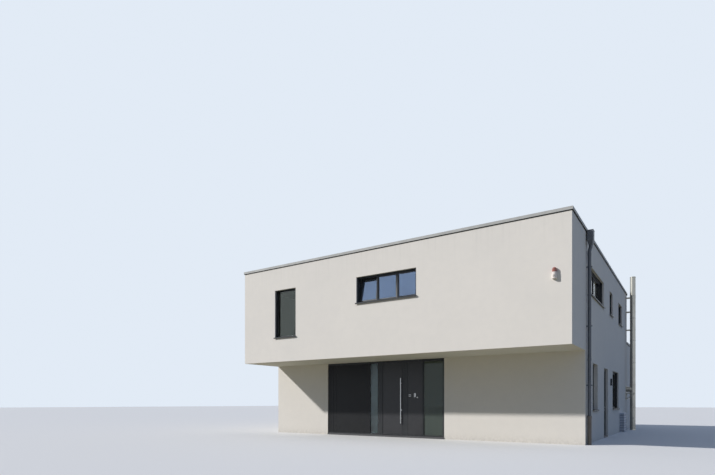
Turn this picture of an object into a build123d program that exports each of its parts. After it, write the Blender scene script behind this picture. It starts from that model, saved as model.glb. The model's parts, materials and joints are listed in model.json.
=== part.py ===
from build123d import *
import os

# A two-storey house with a flat roof, in millimetres.
# X runs along the street front, Y goes back from the street and Z is up.
# The origin is at ground level, in the middle of the whole object's plan.

# House body
house_width = 11750
overhang = 1870  # how far the upper storey stands out over the entrance
upper_depth = 12360
terrace_depth = 2400  # the single-storey part behind, with a terrace on top
wall = 400

# Levels above the ground
floor_top = 60
soffit = 2710
upper_floor_top = 3030
ceiling = 5550
roof_top = 5800
parapet_top = 6208
terrace_top = 2990
terrace_parapet_top = 3990

# Sheet metal coping on the parapets
coping_sheet = 4
coping_overhang = 30
coping_face = 80
coping_joint = 1

# Windows and their metal sills
frame_setback = 120  # from the wall's outer face to the frame
frame_depth = 80
frame_bar = 45
mullion = 44
sash_rim = 28  # what shows of a closed sash inside the frame
sash_step = 8  # how far a closed sash lies behind the frame's face
rail_width = 45  # guide rails for a blind, in front of the frame at both sides
rail_setback = 50
pane = 28
sill_projection = 45
sill_side = 25
sill_drop = 35
sill_sheet = 6
sill_fall = 14

# Window heights, and places: along the front from the right corner, along the sides
# from the upper storey's front face and along the rear from the right corner
upper_sill = 4465
upper_head = 5315
ground_sill = 985
ground_head = 2430
ribbon_place = 4424
ribbon_width = 2182
ribbon_tilted = 830  # the light whose sash is tilted open, then the middle one
ribbon_middle = 690
tall_place = 9204
tall_width = 992
tall_sill = 3590
wide_place = 2760
wide_width = 2616
square_place = 6816
square_width = 840
far_place = 9360
far_width = 1200
low_place = 3120
low_width = 960
low_double_place = 7608
low_double_width = 1792
rear_place = 1500
rear_far_place = 7600
rear_width = 2600
terrace_door_step = 50

# Doors
leaf_thickness = 68
leaf_edge = 2
door_gap = 6  # round the hinge side, head and foot of a leaf
latch_gap = 10  # at the closing side, where the leaf's corner swings out
stop_lap = 8  # a lip on the frame that covers the gap from outside
stop_clear = 6
stop_thickness = 10
knuckle_radius = 11
pin_radius = 6
pin_clearance = 0.3
knuckle_length = 60
knuckle_clearance = 0.3
hinge_plate = 3
hinge_plate_width = 34

# Entrance element, from the street front's right corner to the left
entrance_right = 4340
entrance_jamb = 66
sidelight = 710
entrance_mullion = 52
bell_panel = 552
latch_post = 205
door_field = 832
hinge_post = 185
glass_strip = 334
wide_panel = 1520
end_panel = 364
panel_joint = 8
head_bar = 70
foot_bar = 40
frame_face = 30  # from the wall's face back to the frame's

# Side door
side_door_start = 5424
side_door_width = 940
side_door_head = 2410
side_door_bar = 60
side_door_setback = 75

# Fittings on the walls
siren_from_corner = 418
siren_foot = 4412
siren_width = 124
siren_height = 170
siren_depth = 104
siren_dome_height = 126
lamp_place = 6978  # behind the upper storey's front face
lamp_foot = 1850
lamp_width = 100
lamp_height = 250
lamp_depth = 62

# Downpipe with its hopper, on the right wall
pipe_radius = 50
pipe_from_wall = 80
pipe_from_corner = 180  # behind the ground floor's front face
stand_pipe_radius = 58
stand_pipe_top = 830
hopper_gap = 34  # from the wall, past the coping's edge
hopper_width = 220
hopper_depth = 160
hopper_height = 290
hopper_top = 6150
funnel_height = 120
neck_bend = 60
neck_drop = 110

# Flue, on the right wall near its rear end
flue_radius = 112.5
flue_bore = 75
flue_band = 4
flue_section = 1000
flue_gap = 160  # between the wall and the pipe
flue_from_rear = 300  # axis to the rear face of the upper storey
flue_height = 6870
flue_inlet = 1830

# Louvred cabinet at the foot of the right wall
cabinet_start = 9744
cabinet_length = 800
cabinet_depth = 170
cabinet_height = 790
louvre_pitch = 104
louvre_depth = 14

# Straps and clips round the pipes
seat_clear = 0.3
strap_wall = 4

# Places worked out from the sizes above
reach = max(coping_overhang, sill_projection)
reach_right = flue_gap + 2 * flue_radius + max(flue_band, seat_clear + strap_wall)
x_left = -(reach + house_width + reach_right) / 2 + reach
x_right = x_left + house_width
total_depth = upper_depth + terrace_depth
y_front = -(siren_depth + total_depth + reach) / 2 + siren_depth
y_ground = y_front + overhang
y_upper_back = y_front + upper_depth
y_back = y_front + total_depth
in_left = x_left + wall
in_right = x_right - wall

os.makedirs("parts", exist_ok=True)


def save(piece, name):
    """Label a finished piece and write it as one STEP file."""
    piece.part.label = name
    export_step(piece.part, f"parts/{name}.step")


def block(x, y, z, mode=Mode.ADD):
    """A square block between two limits on each axis, in the open part."""
    with Locations(((x[0] + x[1]) / 2, (y[0] + y[1]) / 2, (z[0] + z[1]) / 2)):
        Box(x[1] - x[0], y[1] - y[0], z[1] - z[0], mode=mode)


# A wall is drawn as its elevation: a plane on its outer face, whose own X runs to the
# right as someone outside sees it and whose own Y is up.
front_face = Plane(origin=(x_right, y_front, 0), x_dir=(1, 0, 0), z_dir=(0, -1, 0))
entrance_face = front_face.offset(-overhang)
right_face = Plane(origin=(x_right, y_front, 0), x_dir=(0, 1, 0), z_dir=(1, 0, 0))
left_face = Plane(origin=(x_left, y_front, 0), x_dir=(0, -1, 0), z_dir=(-1, 0, 0))
rear_face = Plane(origin=(x_right, y_back, 0), x_dir=(-1, 0, 0), z_dir=(0, 1, 0))
upper_rear_face = rear_face.offset(-terrace_depth)


class Opening:
    """A window: where it starts and ends along its wall, its sill and head heights, and
    how far along it the middles of its mullions are. Each light has a closed sash, but
    a fixed window has none and the tilted light's sash is made by itself."""

    def __init__(self, start, width, sill, head, mullions=(), fixed=False, tilted=None,
                 rails=True):
        self.start, self.end, self.sill, self.head = start, start + width, sill, head
        self.mullions = mullions
        self.rim = 0 if fixed else sash_rim
        self.tilted = tilted
        self.rails = rails

    def lights(self):
        """The clear spaces between the frame's bars, as (start, end, foot, head)."""
        edges = [self.start + frame_bar]
        for middle in self.mullions:
            edges.append(self.start + middle - mullion / 2)
            edges.append(self.start + middle + mullion / 2)
        edges.append(self.end - frame_bar)
        foot, head = self.sill + frame_bar, self.head - frame_bar
        return [(start, end, foot, head) for start, end in zip(edges[::2], edges[1::2])]

    def closed_lights(self):
        """The lights that are glazed in the frame's own plane."""
        return [light for n, light in enumerate(self.lights()) if n != self.tilted]

    def mirrored(self):
        """The same window on the opposite wall, whose places run the other way."""
        width = self.end - self.start
        mullions = [width - middle for middle in self.mullions]
        return Opening(-self.end, width, self.sill, self.head, mullions, rails=self.rails)


def area(x0, x1, z0, z1, mode=Mode.ADD):
    """A rectangle between two corners, in the open sketch."""
    with Locations(((x0 + x1) / 2, (z0 + z1) / 2)):
        Rectangle(x1 - x0, z1 - z0, mode=mode)


# Windows, by wall. On the front a place counts from the right corner, so it is negative.
tall_window = Opening(
    -tall_place - tall_width, tall_width, tall_sill, upper_head, fixed=True
)
ribbon_window = Opening(
    -ribbon_place - ribbon_width,
    ribbon_width,
    upper_sill,
    upper_head,
    (ribbon_tilted, ribbon_tilted + ribbon_middle),
    tilted=0,
)
front_windows = [tall_window, ribbon_window]
right_upper_windows = [
    Opening(wide_place, wide_width, upper_sill, upper_head, (wide_width / 2,)),
    Opening(square_place, square_width, upper_sill, upper_head),
    Opening(far_place, far_width, upper_sill, upper_head),
]
right_window_front = Opening(low_place, low_width, ground_sill, ground_head, rails=False)
right_window_rear = Opening(
    low_double_place, low_double_width, ground_sill, ground_head, (low_double_width / 2,)
)
side_door_end = side_door_start + side_door_width

# The left wall's places run forwards, so they are negative, like the right wall mirrored
left_upper_windows = [w.mirrored() for w in right_upper_windows]
left_ground_windows = [right_window_front.mirrored(), right_window_rear.mirrored()]
rear_ground_windows = [
    Opening(place, rear_width, ground_sill, ground_head, (rear_width / 2,))
    for place in (rear_place, rear_far_place)
]
terrace_door_foot = upper_floor_top + terrace_door_step
rear_upper_windows = [
    Opening(rear_place, rear_width, terrace_door_foot, upper_head, (rear_width / 2,)),
    Opening(rear_far_place, rear_width, upper_sill, upper_head, (rear_width / 2,)),
]


def pierced_wall(face, start, end, bottom, top, windows):
    """A wall drawn as its elevation with the window openings cut out, then given its
    thickness inwards."""
    with BuildPart() as piece:
        with BuildSketch(face):
            area(start, end, bottom, top)
            for w in windows:
                area(w.start, w.end, w.sill, w.head, Mode.SUBTRACT)
        extrude(amount=-wall)
    return piece


# Where the entrance's bars begin, from its right end to its left
sidelight_start = entrance_right + entrance_jamb
bell_panel_start = sidelight_start + sidelight + entrance_mullion
door_start = bell_panel_start + bell_panel + latch_post
glass_strip_start = door_start + door_field + hinge_post
wide_panel_start = glass_strip_start + glass_strip + panel_joint
end_panel_start = wide_panel_start + wide_panel + panel_joint
entrance_left = end_panel_start + end_panel + panel_joint

# Ground floor slab, with tongues into the two doorways
threshold_depth = 90
side_door_inside = side_door_setback + stop_thickness
with BuildPart() as ground_floor:
    block((in_left, in_right), (y_ground + wall, y_back - wall), (0, floor_top))
    block(
        (x_right - entrance_left, x_right - entrance_right),
        (y_ground + frame_face + threshold_depth, y_ground + wall),
        (0, floor_top),
    )
    block(
        (in_right, x_right - side_door_inside),
        (y_front + side_door_start, y_front + side_door_end),
        (0, floor_top),
    )
save(ground_floor, "ground_floor")

# Ground storey walls
front_wall_left = pierced_wall(entrance_face, -house_width, -entrance_left, 0, soffit, [])
save(front_wall_left, "front_wall_left")
front_wall_right = pierced_wall(entrance_face, -entrance_right, 0, 0, soffit, [])
save(front_wall_right, "front_wall_right")
side_start = overhang + wall
side_end = total_depth - wall
right_wall_front = pierced_wall(
    right_face, side_start, side_door_start, 0, soffit, [right_window_front]
)
save(right_wall_front, "right_wall_front")
right_wall_rear = pierced_wall(
    right_face, side_door_end, side_end, 0, soffit, [right_window_rear]
)
save(right_wall_rear, "right_wall_rear")
right_wall_over_door = pierced_wall(
    right_face, side_door_start, side_door_end, side_door_head, soffit, []
)
save(right_wall_over_door, "right_wall_over_door")
left_wall = pierced_wall(left_face, -side_end, -side_start, 0, soffit, left_ground_windows)
save(left_wall, "left_wall")
rear_wall = pierced_wall(rear_face, 0, house_width, 0, soffit, rear_ground_windows)
save(rear_wall, "rear_wall")

# Upper storey: the floor lies between its walls, and its underside is the soffit
with BuildPart() as upper_floor:
    block(
        (in_left, in_right),
        (y_front + wall, y_upper_back - wall),
        (soffit, upper_floor_top),
    )
save(upper_floor, "upper_floor")
upper_front_wall = pierced_wall(
    front_face, -house_width, 0, soffit, parapet_top, front_windows
)
save(upper_front_wall, "upper_front_wall")
upper_right_wall = pierced_wall(
    right_face, wall, upper_depth - wall, soffit, parapet_top, right_upper_windows
)
save(upper_right_wall, "upper_right_wall")
upper_left_wall = pierced_wall(
    left_face, wall - upper_depth, -wall, soffit, parapet_top, left_upper_windows
)
save(upper_left_wall, "upper_left_wall")
upper_rear_wall = pierced_wall(
    upper_rear_face, 0, house_width, soffit, parapet_top, rear_upper_windows
)
save(upper_rear_wall, "upper_rear_wall")

# Flat roof between the parapets
with BuildPart() as roof_slab:
    block((in_left, in_right), (y_front + wall, y_upper_back - wall), (ceiling, roof_top))
save(roof_slab, "roof_slab")

# Single-storey part behind: its roof is the terrace, inside a rendered parapet
parapet_wall = 250
with BuildPart() as terrace_slab:
    block(
        (x_left + parapet_wall, x_right - parapet_wall),
        (y_upper_back, y_back - parapet_wall),
        (soffit, terrace_top),
    )
save(terrace_slab, "terrace_slab")
with BuildPart() as terrace_parapet:
    with BuildSketch(Plane.XY.offset(soffit)):
        area(x_left, x_right, y_upper_back, y_back)
        area(
            x_left + parapet_wall,
            x_right - parapet_wall,
            y_upper_back,
            y_back - parapet_wall,
            Mode.SUBTRACT,
        )
    extrude(amount=terrace_parapet_top - soffit)
save(terrace_parapet, "terrace_parapet")


def coping_ring(outer, inner, top, mode):
    """A flat ring or a U between an outer and an inner rectangle, one coping face deep,
    in the open part. A rectangle is (left, right, front, back)."""
    with BuildSketch(Plane.XY.offset(top)) as ring:
        area(*outer)
        area(*inner, Mode.SUBTRACT)
    extrude(ring.sketch, amount=-coping_face, mode=mode)


def coping(outer, inner, top, front_lap):
    """Folded sheet over a parapet, in the open part: a cap with both edges turned down.
    The front lap is 0 where the coping ends against a wall."""
    for lap, level, mode in (
        (coping_overhang, top + coping_sheet, Mode.ADD),
        (coping_overhang - coping_sheet, top, Mode.SUBTRACT),
    ):
        front = min(lap, front_lap)
        coping_ring(
            (outer[0] - lap, outer[1] + lap, outer[2] - front, outer[3] + lap),
            (inner[0] + lap, inner[1] - lap, inner[2] + front, inner[3] - lap),
            level,
            mode,
        )


def mitre(x, y, angle):
    """A thin upright cut through a coping's corner, in the open part."""
    with Locations(Location((x, y, parapet_top), (0, 0, angle))):
        Box(4 * wall, coping_joint, 4 * coping_face, mode=Mode.SUBTRACT)


# Copings on both parapets, mitred at the corners
with BuildPart() as roof_coping:
    coping(
        (x_left, x_right, y_front, y_upper_back),
        (in_left, in_right, y_front + wall, y_upper_back - wall),
        parapet_top,
        coping_overhang,
    )
    mitre(x_left, y_front, 45)
    mitre(x_right, y_front, -45)
    mitre(x_right, y_upper_back, 45)
    mitre(x_left, y_upper_back, -45)
with BuildPart() as wall_copings:
    coping(
        (x_left, x_right, y_upper_back, y_back),
        (x_left + parapet_wall, x_right - parapet_wall, y_upper_back, y_back - parapet_wall),
        terrace_parapet_top,
        0,
    )
    with Locations((0, 0, terrace_parapet_top - parapet_top)):
        mitre(x_right, y_back, 45)
        mitre(x_left, y_back, -45)
    add(roof_coping.part)
save(wall_copings, "wall_copings")


def inside(light, rim):
    """A light's rectangle with a rim of one width taken off all round."""
    return light[0] + rim, light[1] - rim, light[2] + rim, light[3] - rim


def window_frames(face, windows):
    """The frames of one wall's windows with the rims of their closed sashes, in the open
    part, and guide rails in front of their two sides."""
    with BuildSketch(face.offset(-frame_setback)) as frames:
        for w in windows:
            area(w.start, w.end, w.sill, w.head)
            for light in w.lights():
                area(*light, Mode.SUBTRACT)
    extrude(frames.sketch, amount=-frame_depth)
    with BuildSketch(face.offset(-frame_setback - sash_step)) as rims:
        for w in windows:
            if w.rim:
                for light in w.closed_lights():
                    area(*light)
                    area(*inside(light, w.rim), Mode.SUBTRACT)
    extrude(rims.sketch, amount=sash_step - frame_depth)
    with BuildSketch(face.offset(-frame_setback)) as rails:
        for w in windows:
            if w.rails:
                area(w.start, w.start + rail_width, w.sill + sill_drop, w.head)
                area(w.end - rail_width, w.end, w.sill + sill_drop, w.head)
    extrude(rails.sketch, amount=frame_setback - rail_setback)


def window_glass(face, windows):
    """The panes of one wall's windows, in the open part, each filling its sash."""
    with BuildSketch(face.offset(-frame_setback - (frame_depth - pane) / 2)) as panes:
        for w in windows:
            for light in w.closed_lights():
                area(*inside(light, w.rim))
    extrude(panes.sketch, amount=-pane)


right_windows = right_upper_windows + [right_window_front, right_window_rear]
left_windows = left_upper_windows + left_ground_windows
with BuildPart() as front_window_frames:
    window_frames(front_face, front_windows)
save(front_window_frames, "front_window_frames")
with BuildPart() as right_window_frames:
    window_frames(right_face, right_windows)
save(right_window_frames, "right_window_frames")
with BuildPart() as right_window_glass:
    window_glass(right_face, right_windows)
save(right_window_glass, "right_window_glass")
with BuildPart() as left_window_frames:
    window_frames(left_face, left_windows)
save(left_window_frames, "left_window_frames")
with BuildPart() as left_window_glass:
    window_glass(left_face, left_windows)
save(left_window_glass, "left_window_glass")
with BuildPart() as rear_window_frames:
    window_frames(rear_face, rear_ground_windows)
    window_frames(upper_rear_face, rear_upper_windows)
save(rear_window_frames, "rear_window_frames")
with BuildPart() as rear_window_glass:
    window_glass(rear_face, rear_ground_windows)
    window_glass(upper_rear_face, rear_upper_windows)
save(rear_window_glass, "rear_window_glass")

# The ribbon window's left sash, tilted in at the top about its inner bottom edge
sash_tilt = 12
sash_gap = 5
sash_bar = 38
sash_depth = 68
sash_start, sash_end, sash_foot, sash_head = ribbon_window.lights()[0]
sash = (0, sash_end - sash_start - 2 * sash_gap, 0, sash_head - sash_foot - 2 * sash_gap)
sash_up = Vector(0, 1, 0).rotate(Axis.X, 90 - sash_tilt)
sash_plane = Plane(
    origin=(
        x_right + sash_start + sash_gap,
        y_front + frame_setback + frame_depth,
        sash_foot + seat_clear,
    ),
    x_dir=(1, 0, 0),
    z_dir=Vector(1, 0, 0).cross(sash_up),
)
with BuildPart() as tilted_sash:
    with BuildSketch(sash_plane):
        area(*sash)
        area(*inside(sash, sash_bar), Mode.SUBTRACT)
    extrude(amount=sash_depth)
save(tilted_sash, "tilted_sash")
with BuildPart() as front_window_glass:
    window_glass(front_face, front_windows)
    with BuildSketch(sash_plane.offset((sash_depth - pane) / 2)):
        area(*inside(sash, sash_bar))
    extrude(amount=pane)
save(front_window_glass, "front_window_glass")


def add_sill(face, w):
    """A folded sheet sill in the open part: a sloping tread from the frame to a nose
    that is turned down and reaches a little past both jambs outside the wall."""
    across = Plane(
        origin=face.from_local_coords((w.start, 0, 0)),
        x_dir=face.z_dir,
        z_dir=face.x_dir * -1,
    )
    nose_top = w.sill + sill_sheet
    nose_foot = w.sill - sill_drop
    nose_back = sill_projection - sill_sheet
    with BuildSketch(across) as tread:
        with BuildLine():
            Polyline(
                (-frame_setback, w.sill),
                (-frame_setback, nose_top + sill_fall),
                (sill_projection, nose_top),
                (sill_projection, nose_foot),
                (nose_back, nose_foot),
                (nose_back, w.sill),
                close=True,
            )
        make_face()
    extrude(tread.sketch, amount=w.start - w.end)
    for end in (w.start - sill_side, w.end):
        with BuildSketch(face.offset(nose_back)) as nose:
            area(end, end + sill_side, nose_foot, nose_top)
        extrude(nose.sketch, amount=sill_sheet)
        with BuildSketch(face) as lip:
            area(end, end + sill_side, w.sill, nose_top)
        extrude(lip.sketch, amount=nose_back)


def add_sills(face, windows):
    """The sills of one wall's windows, in the open part."""
    for w in windows:
        add_sill(face, w)


with BuildPart() as window_sills:
    add_sills(front_face, front_windows)
    add_sills(right_face, right_windows)
    add_sills(left_face, left_windows)
    add_sills(rear_face, rear_ground_windows)
    add_sills(upper_rear_face, rear_upper_windows)
save(window_sills, "window_sills")


# Doors. Both leaves hang on the left as seen from outside and open into the house.
door_frame_depth = stop_thickness + stop_clear + leaf_thickness
axis_depth = door_frame_depth + hinge_plate + knuckle_radius
hinge_inset = 250  # from a leaf's head and foot to its outer hinges


def door_lip(face, setback, start, end, head):
    """A lip round the head and sides of a doorway in the open part, in front of the
    leaf, that covers the gaps at its edges."""
    with BuildSketch(face.offset(-setback)) as lip:
        area(start, end, floor_top, head)
        area(
            start + door_gap + stop_lap,
            end - latch_gap - stop_lap,
            floor_top,
            head - door_gap - stop_lap,
            Mode.SUBTRACT,
        )
    extrude(lip.sketch, amount=-stop_thickness)


def hinge_heights(head):
    """Where a leaf's three hinges part, between their lower and upper knuckles."""
    return [floor_top + hinge_inset, (floor_top + head) / 2, head - hinge_inset]


def hinge_plane(face, setback, start, height):
    """A level plane on the hinge axis, its own X pointing towards the leaf."""
    return Plane(
        origin=face.from_local_coords((start + door_gap / 2, height, -setback - axis_depth)),
        x_dir=face.x_dir,
        z_dir=(0, 0, 1),
    )


def hinge_halves(face, setback, start, head, on_leaf):
    """One side of a doorway's three hinges, in the open part: the plate and knuckle that
    are screwed to the frame, with the pin, or those on the leaf, which turn on it."""
    side = 1 if on_leaf else -1
    for height in hinge_heights(head):
        level = hinge_plane(face, setback, start, height)
        base = level.offset(knuckle_clearance) if on_leaf else level.offset(-knuckle_length)
        with BuildSketch(base) as half:
            Circle(knuckle_radius)
            with Locations((side * hinge_plate_width / 2, -knuckle_radius - hinge_plate / 2)):
                Rectangle(hinge_plate_width, hinge_plate)
            with Locations((side * knuckle_radius / 2, -knuckle_radius / 2)):
                Rectangle(knuckle_radius, knuckle_radius)
            if on_leaf:
                Circle(pin_radius + pin_clearance, mode=Mode.SUBTRACT)
        extrude(half.sketch, amount=knuckle_length)
        if not on_leaf:
            with BuildSketch(level) as pin:
                Circle(pin_radius)
            extrude(pin.sketch, amount=knuckle_length)


def door_leaf(face, setback, start, end, head):
    """A plain leaf that fills its doorway, less the gaps round it, with its halves of
    the three hinges."""
    with BuildPart() as leaf:
        with BuildSketch(face.offset(-setback - stop_thickness - stop_clear)):
            area(start + door_gap, end - latch_gap, floor_top + door_gap, head - door_gap)
        extrude(amount=-leaf_thickness)
        fillet(leaf.edges().filter_by(Axis.Z), leaf_edge)
        hinge_halves(face, setback, start, head, True)
    return leaf


# Entrance: one frame from wall to wall and from the floor to the soffit
entrance_fields = [
    (-sidelight_start - sidelight, -sidelight_start),
    (-bell_panel_start - bell_panel, -bell_panel_start),
    (-glass_strip_start - glass_strip, -glass_strip_start),
    (-wide_panel_start - wide_panel, -wide_panel_start),
    (-end_panel_start - end_panel, -end_panel_start),
]
entrance_door_left = -door_start - door_field
field_head = soffit - head_bar
field_foot = floor_top + foot_bar
with BuildPart() as entrance_frame:
    with BuildSketch(entrance_face.offset(-frame_face)):
        area(-entrance_left, -entrance_right, floor_top, soffit)
        area(entrance_door_left, -door_start, floor_top, field_head, Mode.SUBTRACT)
        for start, end in entrance_fields:
            area(start, end, field_foot, field_head, Mode.SUBTRACT)
    extrude(amount=-door_frame_depth)
    door_lip(entrance_face, frame_face, entrance_door_left, -door_start, field_head)
save(entrance_frame, "entrance_frame")

panel_recess = 5
panel_thickness = 40
with BuildPart() as entrance_panels:
    with BuildSketch(entrance_face.offset(-frame_face - panel_recess)):
        for start, end in (entrance_fields[1], entrance_fields[3], entrance_fields[4]):
            area(start, end, field_foot, field_head)
    extrude(amount=-panel_thickness)
save(entrance_panels, "entrance_panels")

glass_recess = 28
with BuildPart() as entrance_glass:
    with BuildSketch(entrance_face.offset(-frame_face - glass_recess)):
        for start, end in (entrance_fields[0], entrance_fields[2]):
            area(start, end, field_foot, field_head)
    extrude(amount=-pane)
save(entrance_glass, "entrance_glass")

threshold_nose = 25
threshold_edge = 6
with BuildPart() as door_thresholds:
    with BuildSketch(entrance_face.offset(threshold_nose)):
        area(-entrance_left, -entrance_right, 0, floor_top)
    extrude(amount=-threshold_nose - frame_face - threshold_depth)
    nose = door_thresholds.edges().filter_by(Axis.X).group_by(Axis.Y)[0].sort_by(Axis.Z)[-1]
    chamfer(nose, threshold_edge)
    with BuildSketch(right_face):
        area(side_door_start, side_door_end, 0, floor_top)
    extrude(amount=-side_door_inside)
save(door_thresholds, "door_thresholds")

front_door = door_leaf(
    entrance_face, frame_face, entrance_door_left, -door_start, field_head
)
save(front_door, "front_door")

# Long pull bar outside, lever handle inside
pull_radius = 16
pull_standoff = 62
pull_foot = 490
pull_top = 2080
pull_from_edge = 46
pull_edge = 2
post_radius = 11
post_inset = 180
outer_leaf = -frame_face - stop_thickness - stop_clear
lever_height = 1050
lever_from_edge = 55
lever_length = 130
lever_radius = 10
lever_reach = 50
rose_radius = 26
rose_thickness = 8


def lever(leaf_face, x, towards):
    """A lever handle on a round rose, in the open part. The plane lies on the leaf's
    face, and towards is 1 or -1, the way along its X to the hinges."""
    with BuildSketch(leaf_face) as rose:
        with Locations((x, lever_height)):
            Circle(rose_radius)
    extrude(rose.sketch, amount=rose_thickness)
    with BuildSketch(leaf_face) as neck:
        with Locations((x, lever_height)):
            Circle(lever_radius)
    extrude(neck.sketch, amount=lever_reach)
    grip = Plane(
        origin=leaf_face.from_local_coords(
            (x - towards * lever_radius, lever_height, lever_reach)
        ),
        x_dir=(0, 0, 1),
        z_dir=leaf_face.x_dir * towards,
    )
    with BuildSketch(grip) as bar:
        Circle(lever_radius)
    extrude(bar.sketch, amount=lever_length)


def inner_leaf_face(face, setback):
    """The plane on a leaf's inner face, as someone inside sees it: its X runs the other
    way."""
    inside = face.offset(-setback - door_frame_depth)
    return Plane(origin=inside.origin, x_dir=inside.x_dir * -1, z_dir=inside.z_dir * -1)


with BuildPart() as front_door_handles:
    pull_x = -door_start - latch_gap - pull_from_edge
    pull_out = entrance_face.offset(outer_leaf + pull_standoff)
    pull_end = pull_out.from_local_coords((pull_x, pull_foot, 0))
    with BuildSketch(Plane(origin=pull_end, x_dir=(1, 0, 0), z_dir=(0, 0, 1))):
        Circle(pull_radius)
    extrude(amount=pull_top - pull_foot)
    chamfer(front_door_handles.edges().filter_by(GeomType.CIRCLE), pull_edge)
    with BuildSketch(entrance_face.offset(outer_leaf)):
        with Locations((pull_x, pull_foot + post_inset), (pull_x, pull_top - post_inset)):
            Circle(post_radius)
    extrude(amount=pull_standoff)
    lever(
        inner_leaf_face(entrance_face, frame_face),
        door_start + latch_gap + lever_from_edge,
        1,
    )
save(front_door_handles, "front_door_handles")

# Side door: frame, leaf, and a lever on each side
side_door_left = side_door_start + side_door_bar
side_door_right = side_door_end - side_door_bar
side_field_head = side_door_head - side_door_bar
with BuildPart() as side_door_frame:
    with BuildSketch(right_face.offset(-side_door_setback)):
        area(side_door_start, side_door_end, floor_top, side_door_head)
        area(side_door_left, side_door_right, floor_top, side_field_head, Mode.SUBTRACT)
    extrude(amount=-door_frame_depth)
    door_lip(
        right_face, side_door_setback, side_door_left, side_door_right, side_field_head
    )
save(side_door_frame, "side_door_frame")

side_door = door_leaf(
    right_face, side_door_setback, side_door_left, side_door_right, side_field_head
)
save(side_door, "side_door")

with BuildPart() as side_door_levers:
    lever_place = side_door_right - latch_gap - lever_from_edge
    outer_side_leaf = -side_door_setback - stop_thickness - stop_clear
    lever(right_face.offset(outer_side_leaf), lever_place, -1)
    lever(inner_leaf_face(right_face, side_door_setback), -lever_place, 1)
save(side_door_levers, "side_door_levers")

with BuildPart() as door_hinges:
    hinge_halves(entrance_face, frame_face, entrance_door_left, field_head, False)
    hinge_halves(
        right_face, side_door_setback, side_door_left, side_field_head, False
    )
save(door_hinges, "door_hinges")

# Bell panel fittings beside the front door
bell_height = 1400
bell_width = 80
bell_tall = 140
bell_depth = 14
bell_edge = 2
bell_from_post = 230
reader_width = 100
reader_tall = 34
reader_from_post = 30
button_radius = 22
button_from_post = 370
panel_face = entrance_face.offset(-frame_face - panel_recess)
fittings_left = -bell_panel_start - bell_panel
with BuildPart() as door_bell:
    with BuildSketch(panel_face):
        bell_x = fittings_left + bell_from_post
        area(bell_x, bell_x + bell_width, bell_height, bell_height + bell_tall)
        reader_x = fittings_left + reader_from_post
        middle = bell_height + bell_tall / 2
        area(reader_x, reader_x + reader_width, middle - reader_tall / 2, middle + reader_tall / 2)
        with Locations((fittings_left + button_from_post, bell_height)):
            Circle(button_radius)
    extrude(amount=bell_depth)
    chamfer(door_bell.faces().filter_by(Axis.Y).group_by(Axis.Y)[0].edges(), bell_edge)
save(door_bell, "door_bell")

# Alarm siren on the upper front wall: a body with a half-round front, and a lamp of the
# same plan on top that ends in a dome
siren_middle = -siren_from_corner
siren_shoulder = siren_foot + siren_height
siren_round = siren_width / 2
siren_straight = siren_depth - siren_round
siren_foot_edge = 14
lens_inset = 6
lens_edge = 40


def siren_plan(inset):
    """The siren's plan in the open sketch: a half-round front on a straight back."""
    with Locations((x_right + siren_middle, y_front - siren_straight)):
        Circle(siren_round - inset)
    with Locations((x_right + siren_middle, y_front - siren_straight / 2)):
        Rectangle(siren_width - 2 * inset, siren_straight)
    with Locations((x_right + siren_middle, y_front + siren_depth / 2)):
        Rectangle(2 * siren_width, siren_depth, mode=Mode.SUBTRACT)


with BuildPart() as siren_box:
    with BuildSketch(Plane.XY.offset(siren_foot)):
        siren_plan(0)
    extrude(amount=siren_height)
    foot_edges = siren_box.edges().group_by(Axis.Z)[0]
    chamfer(foot_edges.sort_by(Axis.Y)[:-1], siren_foot_edge)
save(siren_box, "siren_box")
with BuildPart() as siren_dome:
    with BuildSketch(Plane.XY.offset(siren_shoulder)):
        siren_plan(lens_inset)
    extrude(amount=siren_dome_height)
    top_edges = siren_dome.edges().group_by(Axis.Z)[-1]
    fillet(top_edges.sort_by(Axis.Y)[:-1], lens_edge)
save(siren_dome, "siren_dome")

# Wall lamp beside the side door
lamp_round = 30
with BuildPart() as wall_lamp:
    with BuildSketch(right_face):
        area(lamp_place, lamp_place + lamp_width, lamp_foot, lamp_foot + lamp_height)
    extrude(amount=lamp_depth)
    fillet(wall_lamp.edges().filter_by(Axis.Z).group_by(Axis.X)[-1], lamp_round)
save(wall_lamp, "wall_lamp")

# Rainwater: hopper at the coping, swan neck, pipe and a wider stand pipe at the foot
pipe_y = y_ground + pipe_from_corner
hopper_middle = x_right + hopper_gap + hopper_depth / 2
pipe_middle = x_right + pipe_from_wall
hopper_foot = hopper_top - hopper_height
funnel_foot = hopper_foot - funnel_height
with BuildPart() as rain_hopper:
    with BuildSketch(Plane.XY.offset(hopper_foot)):
        with Locations((hopper_middle, pipe_y)):
            Rectangle(hopper_depth, hopper_width)
    extrude(amount=hopper_height)
    with BuildSketch(Plane.XY.offset(hopper_foot)):
        with Locations((hopper_middle, pipe_y)):
            Rectangle(hopper_depth, hopper_width)
    with BuildSketch(Plane.XY.offset(funnel_foot)):
        with Locations((hopper_middle, pipe_y)):
            Rectangle(2 * pipe_radius + 6, 2 * pipe_radius + 6)
    loft()
    hollow_depth = hopper_height - 20
    with BuildSketch(Plane.XY.offset(hopper_top)):
        with Locations((hopper_middle, pipe_y)):
            Rectangle(hopper_depth - 12, hopper_width - 12)
    extrude(amount=-hollow_depth, mode=Mode.SUBTRACT)
    spout_height = hopper_foot + 90
    block(
        (x_right, x_right + hopper_gap),
        (pipe_y - pipe_radius, pipe_y + pipe_radius),
        (spout_height - pipe_radius, spout_height + pipe_radius),
    )
save(rain_hopper, "rain_hopper")

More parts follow.
